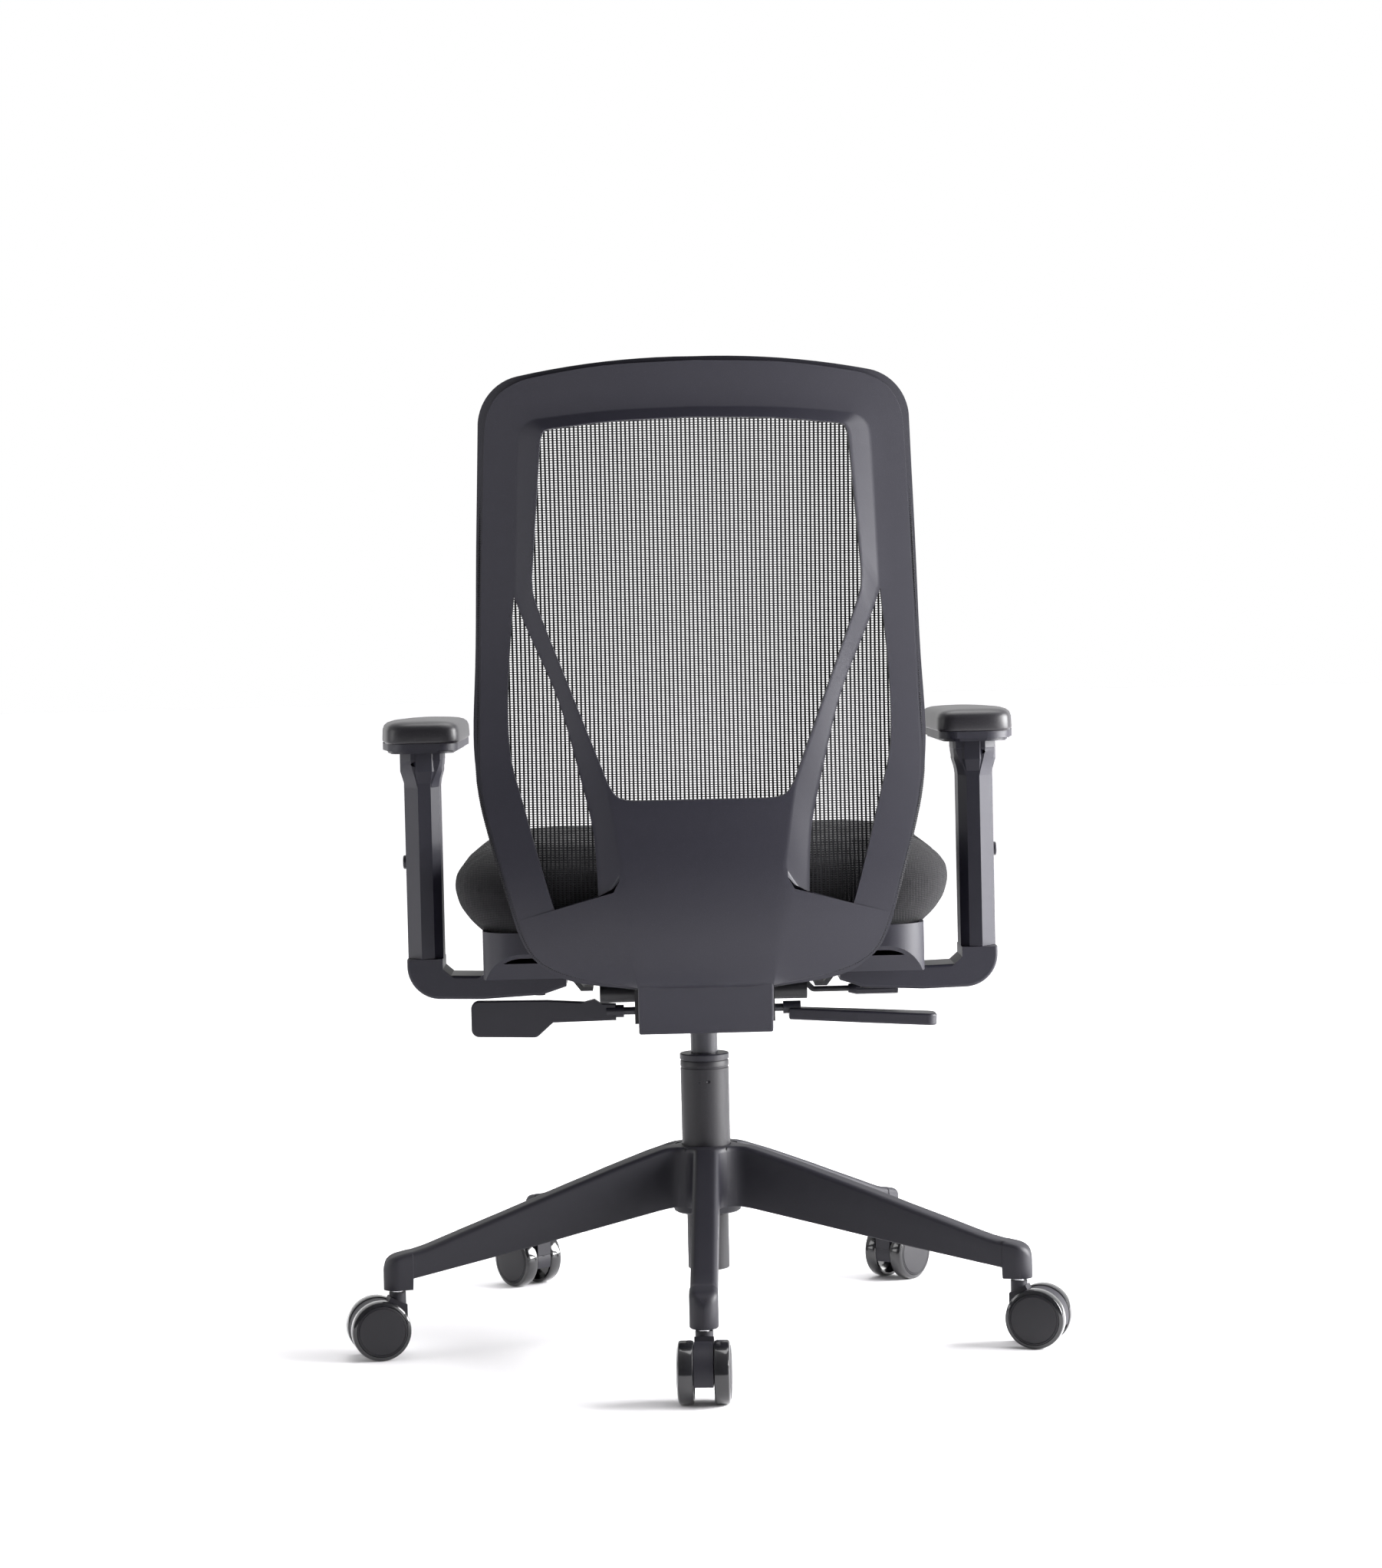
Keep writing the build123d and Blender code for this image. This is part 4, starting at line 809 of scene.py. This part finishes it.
star = bmesh.new()
REACHES = [29.2, 31, 33, 35.5, 38, 41, FILLET_AT, 50, 56, 70, 100, 140, 180, 220, 260, 290, 302, 310,
           315.6, 316.4, 320, 325, 330, 333, 336, 339, 341.2, 342.8, 343.7]
for index in range(LEG_COUNT):
    toward = Matrix.Rotation(radians(FIRST_LEG + 360 / LEG_COUNT * index), 4, "Z")
    rings = [leg_ring(star, reach, toward) for reach in REACHES]
    for near, far in zip(rings, rings[1:]):
        for k in range(len(near)):
            star.faces.new((near[k - 1], near[k], far[k], far[k - 1]))
    star.faces.new(rings[0])
    star.faces.new(rings[-1])
HUB_SECTION = ((25.6, 126), (27.5, 125.2), (32, 125.4), (34.5, 127), (35.5, 131), (35.5, 190), (33.5, 193.8),
               (29, 195), (25.6, 195))
hub_ring = [star.verts.new((radius, 0, z)) for radius, z in HUB_SECTION]
hub_ring.append(hub_ring[0])
hub_edges = [star.edges.new(pair) for pair in zip(hub_ring, hub_ring[1:])]
bmesh.ops.spin(star, geom=hub_ring[:-1] + hub_edges, cent=(0, 0, 0), axis=(0, 0, 1), angle=2 * pi, steps=60,
               use_merge=True)
bmesh.ops.recalc_face_normals(star, faces=star.faces)
star_legs = piece_from(star, "star_base_moulding", "base", base_plastic, ["star_base"],
                       sharp=40)
print("star base:", len(star_legs.data.polygons), "faces")

# %% [markdown]
# ## Caster wheels
# Each wheel is a glossy tyre with a matte hood pressed into its outer side; a fine groove runs round
# the hood near its edge. A wheel is a turned part, so its section is drawn once and spun about the
# axle. The joint of each wheel gives the place and direction of its axle.

# %% Wheel section and ten wheels
WHEEL_SECTION = (       # (radius, distance from the inner face)
    (0, 0), (7, 0), (7, 11.5), (24.6, 11.5), (25.6, 1.2), (26.2, 0.2), (28.4, 0.2), (29.5, 1.0),
    (30, 2.6), (30, 12.2), (29.4, 13.8), (28.2, 14.7), (25.9, 15.2), (25.5, 14.8), (25.1, 15.3),
    (24.0, 15.6), (23.6, 15.2), (23.2, 15.7), (18, 16.1), (10, 16.35), (0, 16.4))
HOOD_EDGE, HOOD_DEPTH = 25.3, 12
INNER_FACE = 9.6            # from the caster's middle plane


def caster_wheel(node, joint):
    """A turned wheel in place of a CAD wheel, on the axle that its joint gives."""
    anchor, axis = Vector(joint["pos_m"]), Vector(joint["axis"]).normalized()
    low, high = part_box(node)
    outward = axis if ((Vector(low) + Vector(high)) / 2 - anchor).dot(axis) > 0 else -axis
    wheel = bmesh.new()
    section = [wheel.verts.new((radius, 0, INNER_FACE + along)) for radius, along in WHEEL_SECTION]
    edges = [wheel.edges.new(pair) for pair in zip(section, section[1:])]
    bmesh.ops.spin(wheel, geom=section + edges, cent=(0, 0, 0), axis=(0, 0, 1), angle=2 * pi, steps=56,
                   use_merge=True)
    bmesh.ops.remove_doubles(wheel, verts=wheel.verts, dist=0.01)
    bmesh.ops.recalc_face_normals(wheel, faces=wheel.faces)
    for face in wheel.faces:
        middle = face.calc_center_median()
        hood = hypot(middle.x, middle.y) < HOOD_EDGE and middle.z > INNER_FACE + HOOD_DEPTH
        face.material_index = 1 if hood else 0
    bmesh.ops.scale(wheel, vec=(MM, MM, MM), verts=wheel.verts)
    turn = outward.to_track_quat("Z", "Y").to_matrix().to_4x4()
    bmesh.ops.transform(wheel, matrix=Matrix.Translation(anchor) @ turn, verts=wheel.verts)
    return piece_from(wheel, node + "_turned", joint["child"], [gloss_plastic, hood_plastic],
                      [node], metres=False, sharp=28)


groups = frame["record"]["behaviour"]["bodies"]
for joint in frame["joints"]:
    if "_roll_" in joint["name"]:
        for node in groups[joint["child"]]:
            if "wheel" in node:
                caster_wheel(node, joint)

# %% [markdown]
# ## Arm pads
# A moulded soft pad with an upright side, a tight shoulder and a slightly crowned top. Rings of its
# outline draw in towards the top and are bridged, and the last ring is closed to a low crown.

# %% Two arm pads
PAD_OUTLINE = [(240, 0), (240, -60), (240.6, -96), (246, -107), (258, -110), (290, -110), (306, -106),
               (314, -92), (322, -30), (325.6, 25), (322, 75), (312, 118), (301, 132), (282, 138),
               (262, 138), (247, 131), (240.6, 116), (240, 60)]
PAD_MIDDLE, PAD_HALF = Vector((283, 14, 0)), (43, 124)
PAD_STEPS = ((619.3, -1.6), (620.6, -0.3), (622, 0), (632.5, -0.6), (636.5, -2.2), (639, -5.5),
             (640.6, -11), (641.4, -20), (641.9, -32))      # (height, border)
for side, sign in (("right", 1), ("left", -1)):
    pad = bmesh.new()
    round_pad = divided([(x, y, 0) for x, y in PAD_OUTLINE + PAD_OUTLINE[:1]], (18, 90))[:-1]
    rings = []
    for height, border in PAD_STEPS:
        ring = [pad.verts.new((sign * (PAD_MIDDLE.x + (p.x - PAD_MIDDLE.x) * (1 + border / PAD_HALF[0])),
                               PAD_MIDDLE.y + (p.y - PAD_MIDDLE.y) * (1 + border / PAD_HALF[1]), height))
                for p in round_pad]
        rings.append([pad.edges.new(pair) for pair in zip(ring, ring[1:] + ring[:1])])
    for lower, upper in zip(rings, rings[1:]):
        bmesh.ops.bridge_loops(pad, edges=lower + upper)
    for ring, lift in ((rings[0], 0), (rings[-1], 0.25)):
        cap = bmesh.ops.contextual_create(pad, geom=ring)["faces"]
        centre = bmesh.ops.poke(pad, faces=cap)["verts"]
        bmesh.ops.translate(pad, vec=(0, 0, lift), verts=centre)
    bmesh.ops.recalc_face_normals(pad, faces=pad.faces)
    soft_top = piece_from(pad, f"arm_pad_{side}_soft", f"pad_{side}", pad_skin,
                          [f"arm_pad_{side}"], sharp=50)

# %% [markdown]
# ## Arm sleeves
# The height-adjusting sleeve is a post with flat facets that catch the light differently. Under the
# pad it flares softly into a neck block, and the rear of the flare has a small oval opening for the
# height stop. Rings of the same outline are joined from the bottom of the post to the neck.

# %% Two sleeves
def carved(bm, cutters):
    """The closed mesh with closed cutter meshes taken away, by exact Boolean modifiers."""
    holders = []
    for name, form in [("blank", bm)] + [(f"cutter_{k}", cutter) for k, cutter in enumerate(cutters)]:
        mesh = bpy.data.meshes.new(name)
        form.to_mesh(mesh)
        form.free()
        holders.append(bpy.data.objects.new(name, mesh))
        scene.collection.objects.link(holders[-1])
    for cutter in holders[1:]:
        cut = holders[0].modifiers.new(cutter.name, "BOOLEAN")
        cut.operation, cut.solver, cut.object = "DIFFERENCE", "EXACT", cutter
    result = bmesh.new()
    done = holders[0].evaluated_get(bpy.context.evaluated_depsgraph_get())
    result.from_mesh(done.to_mesh())
    for holder in holders:
        bpy.data.objects.remove(holder)
    return result


def oval(place, radii):
    """A closed ball with three radii, used to scoop a dished opening."""
    ball = bmesh.new()
    bmesh.ops.create_uvsphere(ball, u_segments=32, v_segments=16, radius=1)
    bmesh.ops.scale(ball, vec=radii, verts=ball.verts)
    bmesh.ops.translate(ball, vec=place, verts=ball.verts)
    return ball


SLEEVE_OUTLINE = ((265.5, -31), (273.5, -43), (286.5, -46), (302, -22), (302, 4), (287.5, 15), (273.5, 15),
                  (265.5, 5))
SLEEVE_MIDDLE = Vector((283.75, -15.5, 0))
SLEEVE_STEPS = ((397.5, 0, 0), (398.2, 0.4, 0), (566, 0.4, 0), (572, 0.5, 0.05), (578, 0.9, 0.25),
                (584, 1.6, 0.5), (590, 2.4, 0.75), (596, 3.3, 0.95), (600, 3.5, 1), (600.6, 3.9, 1),
                (608.2, 3.9, 1))                            # (height, swell, share of the neck outline)
NECK_CORNERS = ((263, -34), (265, -41), (292, -46), (301, -38), (301, 8), (292, 14), (266, 14), (263, 8))
BUTTON_AT, STOP_HOLE_AT = (304, -9, 495), (285, -47, 596.5)
for side, sign in (("right", 1), ("left", -1)):
    sleeve = bmesh.new()
    rings = []
    for height, swell, square in SLEEVE_STEPS:
        ring = []
        for post, neck in zip(SLEEVE_OUTLINE, NECK_CORNERS):
            at = Vector(post).lerp(Vector(neck), square) - SLEEVE_MIDDLE.xy
            at += at.normalized() * (swell - 0.9)
            ring.append(sleeve.verts.new((sign * (SLEEVE_MIDDLE.x + at.x), SLEEVE_MIDDLE.y + at.y, height)))
        rings.append(ring)
    for lower, upper in zip(rings, rings[1:]):
        for k in range(8):
            sleeve.faces.new((lower[k - 1], lower[k], upper[k], upper[k - 1]))
    sleeve.faces.new(rings[0])
    sleeve.faces.new(rings[-1])
    bmesh.ops.recalc_face_normals(sleeve, faces=sleeve.faces)
    scoops = [oval((sign * BUTTON_AT[0],) + BUTTON_AT[1:], (9, 9.5, 8.5)),
              oval((sign * STOP_HOLE_AT[0],) + STOP_HOLE_AT[1:], (8, 9, 2.8))]
    sleeve = carved(sleeve, scoops)
    post = rounded_edges(piece_from(sleeve, f"arm_sleeve_{side}_moulding", f"arm_{side}", frame_plastic,
                                    sharp=25), 1.3, angle=18)

# %% [markdown]
# ## Gas-lift column
# A painted steel tube, a little tapered where it sits in the hub. A groove under its rim marks the
# rolled edge that keeps the guide bush in, and two punched dimples key that bush.

# %% Column tube
COLUMN_SECTION = ((8, 66), (20.5, 66), (21.5, 67), (21.5, 125), (25, 195), (25, 274.6), (24.3, 275.2),
                  (24.3, 276.2), (25, 276.8), (25, 281.6), (24.4, 282.7), (23.4, 283), (19, 283),
                  (19, 70), (8, 70))             # (radius, height)
DIMPLES = ((-6.5, 262), (3.5, 262))
tube = bmesh.new()
section = [tube.verts.new((radius, 0, z)) for radius, z in COLUMN_SECTION]
loop = [tube.edges.new(pair) for pair in zip(section, section[1:] + section[:1])]
bmesh.ops.spin(tube, geom=section + loop, cent=(0, 0, 0), axis=(0, 0, 1), angle=2 * pi, steps=72,
               use_merge=True)
bmesh.ops.recalc_face_normals(tube, faces=tube.faces)
tube = carved(tube, [oval((x, -25.3, z), (2.4, 1.6, 1.7)) for x, z in DIMPLES])
piece_from(tube, "column_tube", "base", column_paint, ["gas_column"], sharp=30)

# %% [markdown]
# ## Sizes
# The box of the CAD parts alone and the box of everything that shows are printed side by side.

# %% Print both boxes and finish
shown_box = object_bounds()
for corner, (cad, shown) in zip(("low", "high"), zip(cad_box, shown_box)):
    print(corner, [round(c, 4) for c in cad], [round(c, 4) for c in shown])
